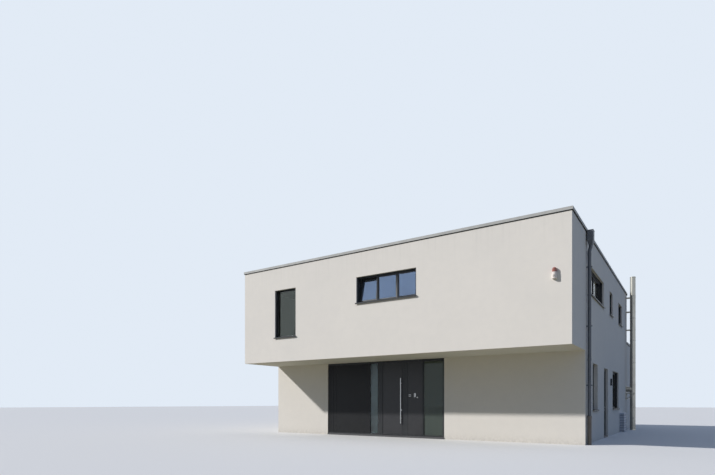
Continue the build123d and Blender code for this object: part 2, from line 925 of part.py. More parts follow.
with BuildPart() as downpipe:
    with BuildLine() as pipe_route:
        FilletPolyline(
            (hopper_middle, pipe_y, funnel_foot),
            (hopper_middle, pipe_y, funnel_foot - neck_bend),
            (pipe_middle, pipe_y, funnel_foot - neck_bend - neck_drop),
            (pipe_middle, pipe_y, stand_pipe_top),
            radius=2 * pipe_radius,
        )
    with BuildSketch(Plane(origin=(hopper_middle, pipe_y, funnel_foot), z_dir=(0, 0, -1))):
        Circle(pipe_radius)
    sweep()
save(downpipe, "downpipe")

socket_wall = 6
socket_height = 70
with BuildPart() as stand_pipe:
    with Locations((pipe_middle, pipe_y, 0)):
        Cylinder(
            stand_pipe_radius,
            stand_pipe_top,
            align=(Align.CENTER, Align.CENTER, Align.MIN),
        )
    with Locations((pipe_middle, pipe_y, stand_pipe_top - socket_height)):
        Cylinder(
            stand_pipe_radius + socket_wall,
            socket_height,
            align=(Align.CENTER, Align.CENTER, Align.MIN),
        )
save(stand_pipe, "stand_pipe")

clip_height = 30
clip_arm = 24
clip_heights = (1700, 3400, 5100)
with BuildPart() as pipe_clips:
    with BuildSketch(Plane.XY) as clip:
        with Locations((pipe_middle, pipe_y)):
            Circle(pipe_radius + seat_clear + strap_wall)
        with Locations((x_right + pipe_from_wall / 2, pipe_y)):
            Rectangle(pipe_from_wall, clip_arm)
        with Locations((pipe_middle, pipe_y)):
            Circle(pipe_radius + seat_clear, mode=Mode.SUBTRACT)
    with Locations(*[(0, 0, height) for height in clip_heights]):
        add(extrude(clip.sketch, amount=clip_height, mode=Mode.PRIVATE))
save(pipe_clips, "pipe_clips")

# Flue: a jacketed steel pipe on the ground, with its inlet through the wall
flue_x = x_right + flue_gap + flue_radius
flue_y = y_upper_back - flue_from_rear
flue_foot = 12
flue_mouth = 500
rose_lap = 45
joints = int(flue_height // flue_section)
with BuildPart() as flue_pipe:
    with BuildSketch(Plane.XY):
        with Locations((flue_x, flue_y)):
            Circle(flue_radius)
    extrude(amount=flue_height)
    with BuildSketch(*[Plane.XY.offset(n * flue_section) for n in range(1, joints + 1)]):
        with Locations((flue_x, flue_y)):
            Circle(flue_radius + flue_band)
    extrude(amount=40)
    with BuildSketch(Plane.YZ.offset(x_right)):
        with Locations((flue_y, flue_inlet)):
            Circle(flue_radius)
    extrude(amount=flue_x - x_right)
    with BuildSketch(Plane.YZ.offset(x_right)):
        with Locations((flue_y, flue_inlet)):
            Circle(flue_radius + rose_lap)
    extrude(amount=6)
    with BuildSketch(Plane.XY.offset(flue_height)):
        with Locations((flue_x, flue_y)):
            Circle(flue_bore)
    extrude(amount=-flue_mouth, mode=Mode.SUBTRACT)
save(flue_pipe, "flue_pipe")

strap_height = 50
strap_heights = (4470, 5280, 5920)
strap_arm = 8
arm_spread = 60
plate_thickness = 8
plate_half = 110
with BuildPart() as flue_brackets:
    with BuildSketch(Plane.XY) as strap:
        with Locations((flue_x, flue_y)):
            Circle(flue_radius + seat_clear + strap_wall)
        for side in (-arm_spread, arm_spread):
            with Locations(((x_right + flue_x) / 2, flue_y + side)):
                Rectangle(flue_x - x_right, strap_arm)
        with Locations((x_right + plate_thickness / 2, flue_y)):
            Rectangle(plate_thickness, 2 * plate_half)
        with Locations((flue_x, flue_y)):
            Circle(flue_radius + seat_clear, mode=Mode.SUBTRACT)
    with Locations(*[(0, 0, height) for height in strap_heights]):
        add(extrude(strap.sketch, amount=strap_height, mode=Mode.PRIVATE))

# Console under the flue's inlet: a shelf round the pipe on two open triangular cheeks
console_top = 1660
console_drop = 300
console_nose = 45
console_bar = 22
cheek_thickness = 6
console_reach = flue_gap + 2 * flue_radius - 20
cheek_out = flue_radius + 8
with BuildPart() as flue_console:
    for side in (-cheek_out - cheek_thickness, cheek_out):
        with BuildSketch(Plane.XZ.offset(-flue_y - side)) as cheek:
            with BuildLine():
                Polyline(
                    (x_right, console_top),
                    (x_right + console_reach, console_top),
                    (x_right + console_reach, console_top - console_nose),
                    (x_right, console_top - console_drop),
                    close=True,
                )
            make_face()
            offset(amount=-console_bar, kind=Kind.INTERSECTION, mode=Mode.SUBTRACT)
        extrude(amount=-cheek_thickness)
    with BuildSketch(Plane.XY.offset(console_top)):
        area(
            x_right,
            x_right + console_reach,
            flue_y - cheek_out - cheek_thickness,
            flue_y + cheek_out + cheek_thickness,
        )
        with Locations((flue_x, flue_y)):
            Circle(flue_radius + seat_clear, mode=Mode.SUBTRACT)
    extrude(amount=cheek_thickness)
with BuildPart() as flue_supports:
    add(flue_brackets.part)
    add(flue_console.part)
save(flue_supports, "flue_supports")

# Louvred cabinet: a closed box with a lid, its sides grooved by level louvres
lid_thickness = 40
lid_lap = 12
louvre_height = 46
with BuildPart() as louvred_cabinet:
    with BuildSketch(right_face):
        area(cabinet_start, cabinet_start + cabinet_length, 0, cabinet_height - lid_thickness)
    extrude(amount=cabinet_depth)
    louvres = int((cabinet_height - lid_thickness) // louvre_pitch)
    for n in range(louvres):
        foot = louvre_pitch * (n + 0.5)
        with BuildSketch(Plane.XY.offset(foot)):
            area(x_right, x_right + cabinet_depth, y_front + cabinet_start,
                 y_front + cabinet_start + cabinet_length)
            area(x_right, x_right + cabinet_depth - louvre_depth,
                 y_front + cabinet_start + louvre_depth,
                 y_front + cabinet_start + cabinet_length - louvre_depth, Mode.SUBTRACT)
        extrude(amount=louvre_height, mode=Mode.SUBTRACT)
    with BuildSketch(Plane.XY.offset(cabinet_height - lid_thickness)):
        area(
            x_right,
            x_right + cabinet_depth + lid_lap,
            y_front + cabinet_start - lid_lap,
            y_front + cabinet_start + cabinet_length + lid_lap,
        )
    extrude(amount=lid_thickness)
save(louvred_cabinet, "louvred_cabinet")
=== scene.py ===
# %% [markdown]
# # Dressing a white house with a flat roof
# The house arrives as a frame of solids in metres: walls, floors, windows, doors and
# pipes, each where it belongs. This lesson gives every solid its finish and adds the
# fine pieces that a solid leaves out, such as seals, blind bars, straps, screws and
# gravel. Nothing of the frame is moved, so every new piece takes its place from it.

# %% Loading the solids
import json
import math
from functools import partialmethod
import bmesh
import bpy
from mathutils import Matrix, Vector


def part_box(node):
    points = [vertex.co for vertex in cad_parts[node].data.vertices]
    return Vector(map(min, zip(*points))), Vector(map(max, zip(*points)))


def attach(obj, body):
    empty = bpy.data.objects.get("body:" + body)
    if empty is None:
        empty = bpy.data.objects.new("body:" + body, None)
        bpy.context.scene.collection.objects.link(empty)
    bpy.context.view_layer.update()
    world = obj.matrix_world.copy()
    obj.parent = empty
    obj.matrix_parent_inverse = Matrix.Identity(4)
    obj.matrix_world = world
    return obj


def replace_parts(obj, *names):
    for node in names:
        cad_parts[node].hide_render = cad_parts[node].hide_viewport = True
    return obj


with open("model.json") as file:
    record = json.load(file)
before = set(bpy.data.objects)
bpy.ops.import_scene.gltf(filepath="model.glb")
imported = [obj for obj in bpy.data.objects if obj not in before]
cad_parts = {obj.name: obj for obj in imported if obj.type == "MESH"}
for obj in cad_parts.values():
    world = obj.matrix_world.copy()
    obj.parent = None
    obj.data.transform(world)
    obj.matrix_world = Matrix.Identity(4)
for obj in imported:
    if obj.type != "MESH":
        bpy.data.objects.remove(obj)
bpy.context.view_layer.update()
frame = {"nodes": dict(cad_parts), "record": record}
nodes = frame["nodes"]
MM = 0.001


def placed(name, data):
    """A new object in the scene."""
    made = bpy.data.objects.new(name, data)
    bpy.context.scene.collection.objects.link(made)
    return made


# %% [markdown]
# ## Camera
# The photograph was taken with the camera held level, close to the ground, and with
# the lens shifted upwards so that the walls stay upright. Its place was worked out
# from the vanishing points. The shift could be left out and the camera tilted, but
# then the walls would lean.

# %% Camera
PHOTO_WIDTH, PHOTO_HEIGHT = 715, 475
HORIZON_ROW = 403.2  # pixel row of eye level in the photograph
FOCAL_PIXELS = 505
SENSOR = 36.0
right_corner = Vector((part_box("upper_front_wall")[1].x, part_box("upper_front_wall")[0].y, 0))
eye = right_corner + Vector((2.5974, -13.7035, 1.2))  # from the street front's right corner
heading = math.radians(33.75)  # turned left from looking straight back

camera = placed("camera", bpy.data.cameras.new("camera"))
camera.location = eye
camera.rotation_mode = "QUATERNION"
ahead = Vector((-math.sin(heading), math.cos(heading), 0))
camera.rotation_quaternion = ahead.to_track_quat("-Z", "Y")
camera.data.sensor_width = SENSOR
camera.data.lens = FOCAL_PIXELS / PHOTO_WIDTH * SENSOR
camera.data.shift_y = (HORIZON_ROW - PHOTO_HEIGHT / 2) / PHOTO_WIDTH
camera.data.clip_end = 500
bpy.context.scene.camera = camera
bpy.context.scene.view_settings.view_transform = "Standard"
print("lens:", round(camera.data.lens, 2), "mm, shift:", round(camera.data.shift_y, 4))

# %% [markdown]
# ## Shader maths as Python
# A material is a net of nodes, and most of its nodes only do sums. Adding them by
# hand hides the idea, so one small class wraps a socket and turns Python's operators
# into Math nodes. A second class makes every other node, most with a single method.

# %% Sockets that can be added and multiplied
class Sock:
    """An output socket. Python's operators on it add Math nodes."""

    def __init__(self, net, socket):
        self.net, self.socket = net, socket

    def maths(self, operation, other=None, swapped=False, clamp=False):
        values = (other, self) if swapped else (self, other)
        settings = {"operation": operation, "use_clamp": clamp}
        return self.net.node("ShaderNodeMath", values, settings)

    __add__ = __radd__ = partialmethod(maths, "ADD")
    __sub__ = partialmethod(maths, "SUBTRACT")
    __rsub__ = partialmethod(maths, "SUBTRACT", swapped=True)
    __mul__ = partialmethod(maths, "MULTIPLY")
    __truediv__ = partialmethod(maths, "DIVIDE")
    __pow__ = partialmethod(maths, "POWER")
    __gt__ = partialmethod(maths, "GREATER_THAN")
    __lt__ = partialmethod(maths, "LESS_THAN")

    def limited(self):
        """The value kept between 0 and 1."""
        return self.maths("ADD", 0.0, clamp=True)

    def between(self, low, high):
        """0 at low, 1 at high and straight in between. High may be the lower one."""
        return ((self - low) / (high - low)).limited()


class Net:
    """A node tree for a material, the sky or geometry, and the methods that fill it."""

    def __init__(self, tree):
        self.tree = tree

    def node(self, kind, inputs=(), settings=None, out=0):
        made = self.tree.nodes.new(kind)
        for name, value in (settings or {}).items():
            setattr(made, name, value)
        pairs = inputs.items() if isinstance(inputs, dict) else enumerate(inputs)
        for key, value in pairs:
            if isinstance(value, Sock):
                self.tree.links.new(value.socket, made.inputs[key])
            elif value is not None:
                made.inputs[key].default_value = value
        return Sock(self, made.outputs[out]) if made.outputs else made

    def split(self, vector):
        """The X, Y and Z of a vector socket."""
        parts = self.node("ShaderNodeSeparateXYZ", (vector,))
        return [Sock(self, s) for s in parts.socket.node.outputs]

    def blend(self, share, *colours):
        """One colour turning into another."""
        a, b = (c if isinstance(c, Sock) else (*c, 1) for c in colours)
        return self.node("ShaderNodeMix", {0: share, 6: a, 7: b}, {"data_type": "RGBA"}, out=2)


# %% [markdown]
# ## Finishes
# All the finishes share one base: a Principled shader that reads Object coordinates.
# Every solid and every piece sits at the origin, so these coordinates are real metres
# and a pattern keeps its true size from piece to piece. Heights for the bump are in
# metres too.

# %% A finish and its usual parts
finishes = {}


class Finish(Net):
    """A material with one Principled shader, kept in the finishes under its name."""

    def __init__(self, name):
        material = finishes[name] = bpy.data.materials.new(name)
        material.use_nodes = True
        super().__init__(material.node_tree)
        self.shader = self.tree.nodes["Principled BSDF"]
        self.place = self.node("ShaderNodeTexCoord", out=3)

    def height(self):
        return self.split(self.place)[2]

    def stretched(self, *scale):
        """Object coordinates with each axis multiplied, to draw a pattern out."""
        return self.node("ShaderNodeMapping", {"Vector": self.place, "Scale": scale})

    def noise(self, scale, detail, at=None, rough=0.5):
        inputs = {"Vector": at or self.place, "Scale": scale, "Detail": detail, "Roughness": rough}
        return self.node("ShaderNodeTexNoise", inputs)

    def cells(self, size, out="Distance"):
        inputs = {"Vector": self.place, "Scale": 1.0 / size}
        return self.node("ShaderNodeTexVoronoi", inputs, out=out)

    def painted(self, base, *layers):
        """The base colour, under other colours that each cover a share of it."""
        for share, colour in layers:
            base = self.blend(share, base, colour)
        self.set(Base_Color=base)

    def bump(self, height):
        """Links a height in metres to the shader's normal."""
        normal = self.node("ShaderNodeBump", {"Distance": 1.0, "Height": height})
        self.tree.links.new(normal.socket, self.shader.inputs["Normal"])

    def set(self, **sockets):
        """Fills the shader's sockets: Base_Color=..., Roughness=... and so on."""
        for name, value in sockets.items():
            socket = self.shader.inputs[name.replace("_", " ")]
            if isinstance(value, Sock):
                self.tree.links.new(value.socket, socket)
            else:
                socket.default_value = (*value, 1) if isinstance(value, tuple) else value


# %% [markdown]
# ## White render
# The walls wear a mineral render: a felted coat of fine grains in white silicate
# paint. Up close it has grains of a millimetre or two, and further off it shows the
# slow waves of the trowel. It is a little greyer just above the ground, where rain
# splashes, and it carries faint runs below the coping. Inside the house the same
# walls are smooth and painted, which a mask by place can tell apart.

# %% White render
def box_in(points, axes):
    """The lowest and highest corner of some points, in other axes."""
    turned = [axes.inverted() @ p for p in points]
    return [Vector([pick(p[i] for p in turned) for i in range(3)]) for pick in (min, max)]


def corners(node, axes=Matrix()):
    """A solid's lowest and highest corner, in the house's axes or in a wall's."""
    return box_in(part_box(node), axes)


upper_low, upper_high = corners("upper_front_wall")
x_left, x_right = upper_low.x, upper_high.x
y_front = upper_low.y
WALL = upper_high.y - upper_low.y
y_ground = corners("front_wall_right")[0].y
y_upper_back = corners("upper_rear_wall")[1].y
y_back = corners("rear_wall")[1].y
SOFFIT, PARAPET = upper_low.z, upper_high.z
FLOOR_TOP, UPPER_FLOOR_TOP = (corners(f"{storey}_floor")[1].z for storey in ("ground", "upper"))
CEILING = corners("roof_slab")[0].z


def inside_mask(coat):
    """1 inside the rooms and on their walls, 0 on everything seen from outside."""
    x, y, z = coat.split(coat.place)
    skin = WALL - 20 * MM
    across = (x > x_left + skin) * (x < x_right - skin)
    front = y_front + skin + (z < SOFFIT) * (y_ground - y_front)
    back = y_back - skin - (z > SOFFIT) * (y_back - y_upper_back)
    level = (z > FLOOR_TOP - MM) * (z < CEILING + MM)
    return across * (y > front) * (y < back) * level


def white_render():
    coat = Finish("white_render")
    z = coat.height()
    patches = coat.noise(0.6, 3.0)
    trowel = coat.noise(5.0, 4.0)
    grain = coat.noise(380.0, 2.0)
    runs = coat.noise(1.0, 3.0, coat.stretched(9.0, 9.0, 0.35))
    splash = z.between(0.34, 0.0) ** 2.0 * coat.noise(14.0, 4.0).between(0.25, 0.7)
    below_coping = z.between(PARAPET - 1.1, PARAPET) * runs.between(0.52, 0.75)
    inside = inside_mask(coat)
    coat.painted(
        (0.775, 0.738, 0.695),
        (patches.between(0.3, 0.7), (0.745, 0.712, 0.673)),
        (trowel.between(0.35, 0.75) * 0.35, (0.71, 0.680, 0.645)),
        (below_coping * 0.16, (0.44, 0.43, 0.41)),
        (splash * 0.4, (0.36, 0.34, 0.31)),
        (inside, (0.74, 0.73, 0.71)),
    )
    coat.set(Roughness=0.93 - inside * 0.25, Specular_IOR_Level=0.35)
    coat.bump((grain * 0.0005 + trowel * 0.0016) * (1 - inside * 0.9))


# %% [markdown]
# ## Coated metal
# Frames, sills, copings and the entrance are aluminium with a baked powder coat in
# anthracite. The powder melts into a fine matt orange peel. Flat panels gather a
# little dust, which shows as a paler bloom low down.

# %% Coated metal
def scaled(colour, factor):
    """A colour made lighter or darker."""
    return tuple(c * factor for c in colour)


def coated_metal(name, colour, roughness, dust=0.25, gloss=0.3):
    coat = Finish(name)
    cloud = coat.noise(3.5, 4.0)
    bloom = coat.height().between(0.75, 0.05) * coat.noise(7.0, 4.0).between(0.35, 0.75) * dust
    paler = (cloud.between(0.35, 0.7), scaled(colour, 1.22))
    coat.painted(colour, paler, (bloom, (0.17, 0.16, 0.145)))
    coat.set(Roughness=roughness + cloud * 0.12 + bloom * 0.3, Specular_IOR_Level=gloss)
    coat.bump(coat.noise(650.0, 1.0) * 0.00006 + coat.noise(2.0, 1.0) * 0.0006)


# %% [markdown]
# ## Bare steel
# The bar handle, hinges and flue are stainless steel, brushed along their length.
# Brushing is thousands of fine scratches, so a noise drawn out along one axis drives
# both the roughness and a very low bump.

# %% Bare steel
def brushed_steel(name, stretch, colour, roughness, seams=0.0):
    steel = Finish(name)
    scratches = steel.noise(1.0, 3.0, steel.stretched(*stretch))
    cloud = steel.noise(2.2, 3.0)
    steel.painted(colour, (cloud.between(0.3, 0.75), scaled(colour, 0.82)))
    steel.set(Roughness=scratches * 0.22 + cloud * 0.10 + roughness - 0.05, Metallic=1.0)
    steel.bump(scratches * 0.00009 + cloud * seams)


# %% [markdown]
# ## Glass
# The windows have sealed double glazing. Modern units carry a coating that makes
# them grey and quite dark by day, and their mirror image is mostly sky. The sheets
# are modelled as real sheets, so plain refraction does the rest. The tints of their
# mirror images are painted reflection: a strong blue on the ribbon window's glass,
# which also mirrors more than real glass, is painted sky, and the other windows get a
# warm one. The entrance glass mirrors less than real glass and has a dark haze, a
# painted dull reflection.

# %% Glass
def window_glass(name, tint, ior=1.5, sheen=(1.0, 1.0, 1.0), rough=0.0, clear=1.0):
    glass = Finish(name)
    glass.painted(tint, (glass.noise(1.3, 3.0).between(0.35, 0.7), scaled(tint, 0.94)))
    glass.set(Transmission_Weight=clear, IOR=ior, Roughness=rough, Specular_Tint=sheen)


# %% [markdown]
# ## Zinc, stone, plastic and rubber
# The remaining finishes follow the same pattern: one or two noises for the tone, and
# a bump at the size that the real surface has.

# %% Zinc and other plain finishes
def weathered(name, colour, other, roughness, scale=6.0, metal=0.0):
    """A coat or a bare sheet that has gone patchy outdoors."""
    coat = Finish(name)
    cloud = coat.noise(scale, 5.0, rough=0.6)
    runs = coat.noise(1.0, 3.0, coat.stretched(30.0, 30.0, 1.2))
    coat.painted(colour, ((cloud * 0.6 + runs * 0.4).between(0.38, 0.62), other))
    coat.set(Roughness=roughness + cloud * 0.2, Metallic=metal)
    coat.bump(coat.noise(160.0, 2.0) * 0.0001)


def smooth_plastic(name, colour, roughness, clear_coat=0.0):
    plastic = Finish(name)
    cloud = plastic.noise(18.0, 3.0)
    faded = tuple(c * 0.90 + 0.02 for c in colour)
    plastic.painted(colour, (cloud.between(0.3, 0.75), faded))
    plastic.set(Roughness=roughness + cloud * 0.1, Coat_Weight=clear_coat)
    plastic.bump(plastic.noise(500.0, 1.0) * 0.00003)


def speckled_stone(name, colour, other, roughness):
    stone = Finish(name)
    fleck = stone.split(stone.cells(4 * MM, out="Color"))[0]
    cloud = stone.noise(2.5, 4.0)
    stone.painted(colour, (fleck.between(0.2, 0.8) * 0.6 + cloud * 0.3, other))
    stone.set(Roughness=roughness + fleck * 0.1)
    stone.bump(fleck * 0.0003 + cloud * 0.001)


# %% [markdown]
# ## Gravel and floors
# The roof is covered in washed gravel. The bed is one surface whose cells give each
# stone its own grey and its own rounded height. Bigger pebbles are real meshes that
# come later and share the same colours.

# %% Gravel and floors
def gravel(name, stone_size):
    bed = Finish(name)
    distance = bed.cells(stone_size)
    own = bed.split(bed.cells(stone_size, out="Color"))
    bed.painted(
        (0.17, 0.165, 0.155),
        (own[0], (0.46, 0.445, 0.42)),
        (own[1].between(0.72, 0.95), (0.40, 0.31, 0.23)),
        # The bed darkens towards the edges of its cells: painted shade in the gaps between the
        # stones.
        (distance.between(0.45, 0.85) * 0.8, (0.06, 0.057, 0.052)),
        (bed.noise(12.0, 2.0).between(0.45, 0.8) * 0.3, (0.12, 0.115, 0.10)),
    )
    bed.set(Roughness=0.85, Specular_IOR_Level=0.3)
    bed.bump((1 - distance) ** 0.7 * (stone_size * 0.4))


def oak_tone(floor):
    """Oak boards that run back from the street, each with its own tone."""
    turn = {"Vector": floor.place, "Rotation": (0, 0, math.pi / 2)}
    bricks = {
        "Vector": floor.node("ShaderNodeMapping", turn),
        "Scale": 1.0,
        "Color1": (0.30, 0.19, 0.105, 1),
        "Color2": (0.38, 0.25, 0.145, 1),
        "Mortar": (0.07, 0.045, 0.03, 1),
        "Mortar Size": 0.003,
        "Brick Width": 1.9,
        "Row Height": 0.16,
    }
    boards = floor.node("ShaderNodeTexBrick", bricks)
    fibre = floor.noise(1.0, 4.0, floor.stretched(90.0, 3.0, 90.0))
    return floor.blend(fibre.between(0.4, 0.7) * 0.35, boards, (0.20, 0.125, 0.07))


def oak_floor():
    floor = Finish("oak_floor")
    floor.set(Base_Color=oak_tone(floor), Roughness=0.42)
    floor.bump(floor.noise(60.0, 3.0) * 0.0002)


def soffit_and_oak():
    """The upper floor: white render below, oak boards above."""
    floor = Finish("upper_floor_slab")
    above = floor.height() > UPPER_FLOOR_TOP - 20 * MM
    waves = (floor.noise(4.0, 3.0), (0.73, 0.715, 0.675))
    floor.painted((0.765, 0.745, 0.70), waves, (above, oak_tone(floor)))
    floor.set(Roughness=0.9 - above * 0.4)
    floor.bump(floor.noise(380.0, 2.0) * 0.0005)


def lot_number(finish):
    """The random number that each copied slab or stone carries."""
    return finish.node("ShaderNodeAttribute", settings={"attribute_name": "lot"}, out="Fac")


def paving():
    """Concrete terrace slabs, each a little lighter or darker than its neighbours."""
    slab = Finish("terrace_paving")
    lot = lot_number(slab)
    slab.painted(
        (0.31, 0.30, 0.285),
        (lot, (0.40, 0.39, 0.37)),
        (slab.noise(160.0, 2.0).between(0.5, 0.8) * 0.4, (0.2, 0.19, 0.18)),
        (slab.noise(1.7, 4.0).between(0.5, 0.8) * 0.3, (0.18, 0.18, 0.165)),
    )
    slab.set(Roughness=lot * 0.08 + 0.82)
    slab.bump(slab.noise(300.0, 2.0) * 0.0006)


def loose_stone():
    """Washed pebbles from grey to buff, one tone to each, with fine veins."""
    stone = Finish("loose_stone")
    lot = lot_number(stone)
    stone.painted(
        (0.15, 0.145, 0.135),
        (lot, (0.50, 0.48, 0.45)),
        ((lot * 7.3).maths("FRACT").between(0.75, 0.9), (0.40, 0.30, 0.21)),
        (stone.noise(90.0, 3.0).between(0.5, 0.7) * 0.35, (0.10, 0.097, 0.09)),
    )
    stone.set(Roughness=0.78)
    stone.bump(stone.noise(400.0, 2.0) * 0.0004)


# %% [markdown]
# ## One look for each solid
# The finishes are made once and handed to the solids by name. A solid keeps its
# mesh, and only its material slot changes.

# %% The finishes of this house
white_render()
soffit_and_oak()
oak_floor()
gravel("roof_gravel", 32 * MM)
paving()
loose_stone()
speckled_stone("threshold_stone", (0.052, 0.053, 0.057), (0.10, 0.10, 0.105), 0.5)
coated_metal("anthracite", (0.025, 0.028, 0.033), 0.40)
# The four entrance coats below are darker copies of the anthracite coat: their darkness is painted
# shade and painted dull reflection over the entrance's own anthracite.
coated_metal("entrance_coat", (0.016, 0.018, 0.021), 0.40, 0.08, 0.38)
coated_metal("anthracite_panel", (0.006, 0.0066, 0.008), 0.44, 0.03, 0.25)
coated_metal("leaf_panel", (0.018, 0.0185, 0.022), 0.40, 0.04, 0.45)
coated_metal("bell_panel", (0.015, 0.0155, 0.018), 0.40, 0.04, 0.46)
coated_metal("coping_grey", (0.385, 0.385, 0.378), 0.55, dust=0.0)
coated_metal("lamp_dark", (0.024, 0.027, 0.034), 0.45)
coated_metal("cabinet_grey", (0.50, 0.53, 0.60), 0.5, dust=0.4)
# The blades are a darker grey than the cabinet: painted shade in the louvre gaps.
coated_metal("blade_grey", (0.32, 0.34, 0.40), 0.5, dust=0.2)
window_glass("window_glass", (0.66, 0.71, 0.67), 1.5, (1.0, 0.97, 0.88))
window_glass("coated_glass", (0.60, 0.68, 0.75), 2.5, (0.56, 0.69, 1.0))
window_glass("entrance_glass", (0.21, 0.26, 0.23), 1.38, clear=0.72)
window_glass("satin_glass", (0.64, 0.77, 0.80), rough=0.3)
brushed_steel("stainless", (220.0, 220.0, 5.0), (0.60, 0.60, 0.59), 0.24)
brushed_steel("flue_steel", (60.0, 60.0, 1.5), (0.42, 0.405, 0.36), 0.24, 0.002)
brushed_steel("spacer", (8.0, 8.0, 8.0), (0.28, 0.28, 0.28), 0.4)
weathered("dark_zinc", (0.075, 0.085, 0.105), (0.12, 0.13, 0.15), 0.42, metal=0.35)
weathered("brown_pipe", (0.17, 0.145, 0.13), (0.24, 0.21, 0.19), 0.6)
weathered("membrane", (0.060, 0.061, 0.063), (0.095, 0.095, 0.093), 0.7, 3.0)
smooth_plastic("siren_white", (0.76, 0.69, 0.66), 0.35, 0.4)
smooth_plastic("siren_red", (0.27, 0.060, 0.035), 0.18, 0.6)
smooth_plastic("board_white", (0.70, 0.69, 0.67), 0.35)
smooth_plastic("dark_gloss", (0.015, 0.016, 0.018), 0.10, 0.8)
smooth_plastic("rubber", (0.012, 0.012, 0.013), 0.6)
stand_ins = {  # for a solid, or for a slot, that has no finish of its own name
    "upper_floor": "upper_floor_slab",
    "flue_pipe": "flue_steel",
    "flue_supports": "flue_steel",
    "front_door": "leaf_panel",
    "entrance_frame": "entrance_coat",
    "concrete": "oak_floor",
    "glass": "window_glass",
}
for row in frame["record"]["subparts"]:
    node, slot = row["node"], row["material_slot"]
    materials = nodes[node].data.materials
    materials.clear()
    materials.append(finishes[stand_ins.get(node) or stand_ins.get(slot, slot)])
print("finishes:", len(finishes), "given to", len(nodes), "solids")

# %% [markdown]
# ## Modelling in a wall's own axes
# Glass, blinds, straps and screws repeat on four walls that face four ways. Writing
# them four times would invite mistakes, so each piece is modelled in its wall's axes:
# along the wall to the right as someone outside sees it, inwards, and up. The four
# sets of axes differ by a turn only.
#
# Nearly every hard piece here is a skin between loops of points. A chamfered block, a
# mitred ring round a pane and a turned knob are all made by that one method.

# %% A piece being modelled
def facing(degrees):
    """A wall's axes: along it, inwards and up."""
    return Matrix.Rotation(math.radians(degrees), 4, "Z")


STREET, RIGHT, REAR, LEFT = (facing(angle) for angle in (0, 90, 180, 270))
WALLS = {"front": STREET, "right": RIGHT, "left": LEFT, "rear": REAR}


class Shape:
    """A new piece while it is modelled, in metres and in one wall's axes."""

    def __init__(self, axes=STREET):
        self.mesh, self.axes = bmesh.new(), axes

    def skin(self, loops, closed=False):
        """Faces between loops of as many points. The ends are capped, or joined."""
        known = {}

        def corner(point):
            key = tuple(round(c, 6) for c in point)
            if key not in known:
                known[key] = self.mesh.verts.new(self.axes @ Vector(point))
            return known[key]

        def face(corners):
            kept = [v for i, v in enumerate(corners) if v is not corners[i - 1]]
            if len(set(kept)) > 2:
                self.mesh.faces.new(kept)

        rows = [[corner(point) for point in loop] for loop in loops]
        following = rows[1:] + rows[:1] if closed else rows[1:]
        for row, after in zip(rows, following):
            for i in range(len(row)):
                face([row[i - 1], row[i], after[i], after[i - 1]])
        if not closed:
            face(rows[0])
            face(rows[-1])
        return self

    def box(self, low, high, edge=0.001):
        """A block with its edges cut off."""

        def level(inset, z):
            x0, y0, x1, y1 = low[0] + inset, low[1] + inset, high[0] - inset, high[1] - inset
            cut = edge - inset
            xs = (x0 + cut, x1 - cut, x1, x1, x1 - cut, x0 + cut, x0, x0)
            ys = (y0, y0, y0 + cut, y1 - cut, y1, y1, y1 - cut, y0 + cut)
            return [(x, y, z) for x, y in zip(xs, ys)]

        z0, z1 = low[2], high[2]
        steps = ((edge, z0), (0, z0 + edge), (0, z1 - edge), (edge, z1))
        return self.skin([level(*step) for step in steps])

    def ring(self, opening, section, level=False):
        """A mitred ring inside an opening (left, right, foot, head), or a level one inside
        a plan. A point of its section is how far in from the edge it lies, and its depth."""
        loops = []
        for inset, depth in section:
            u0, u1, v0, v1 = (e + s * inset for e, s in zip(opening, (1, -1, 1, -1)))
            loop = ((u0, v0), (u1, v0), (u1, v1), (u0, v1))
            loops.append([(u, v, depth) if level else (u, depth, v) for u, v in loop])
        return self.skin(loops, closed=True)

    def turned(self, profile, centre, axis=2, sides=24, closed=False):
        """A lathe-turned piece. A point of its profile is (along the axis, radius)."""
        loops = []
        for along, radius in profile:
            loop = []
            for n in range(sides):
                point = list(centre)
                point[axis] += along
                point[axis - 2] += radius * math.cos(math.tau * n / sides)
                point[axis - 1] += radius * math.sin(math.tau * n / sides)
                loop.append(point)
            loops.append(loop)
        return self.skin(loops, closed)

    def folded(self, outer, inner, start, end):
        """A folded sheet between two places along the wall, from the (depth, height)
        of its outer and of its inner corners."""
        return self.skin([
            [(start, *out), (end, *out), (end, *back), (start, *back)]
            for out, back in zip(outer, inner)
        ])

    def wrapped(self, centre, radius, sheet, heading, spread, levels, steps):
        """A curved plate round an upright axis. Angles are in degrees, 0 along X."""
        loops, (foot, head) = [], levels
        for n in range(steps + 1):
            turn = math.radians(heading + spread * (2 * n / steps - 1))
            near, far = (
                (centre.x + math.cos(turn) * r, centre.y + math.sin(turn) * r)
                for r in (radius, radius + sheet)
            )
            loops.append([(*near, foot), (*far, foot), (*far, head), (*near, head)])
        return self.skin(loops)

    def row(self, seed, finish, count, step):
        """Copies of another shape at even steps."""
        copies = in_rows.spread(seed, finish, Count=count, Step=tuple(step), Rows=1)
        self.mesh.from_mesh(copies)
        return self

    def data(self, name):
        """Ends the modelling with a mesh whose faces all point outwards."""
        bmesh.ops.recalc_face_normals(self.mesh, faces=self.mesh.faces[:])
        data = bpy.data.meshes.new(name)
        self.mesh.to_mesh(data)
        self.mesh.free()
        return data

    def made(self, name, finish, slot=None, body="house"):
        return settle(name, self.data(name), finish, body)


def settle(name, data, finish, body="house"):
    """Gives a mesh its finish, smooth shading and the body that it rides on."""
    data.materials.clear()
    data.materials.append(finishes[finish])
    data.shade_smooth()
    data.set_sharp_from_angle(angle=math.radians(32))
    piece = placed(name, data)
    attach(piece, body)
    return piece


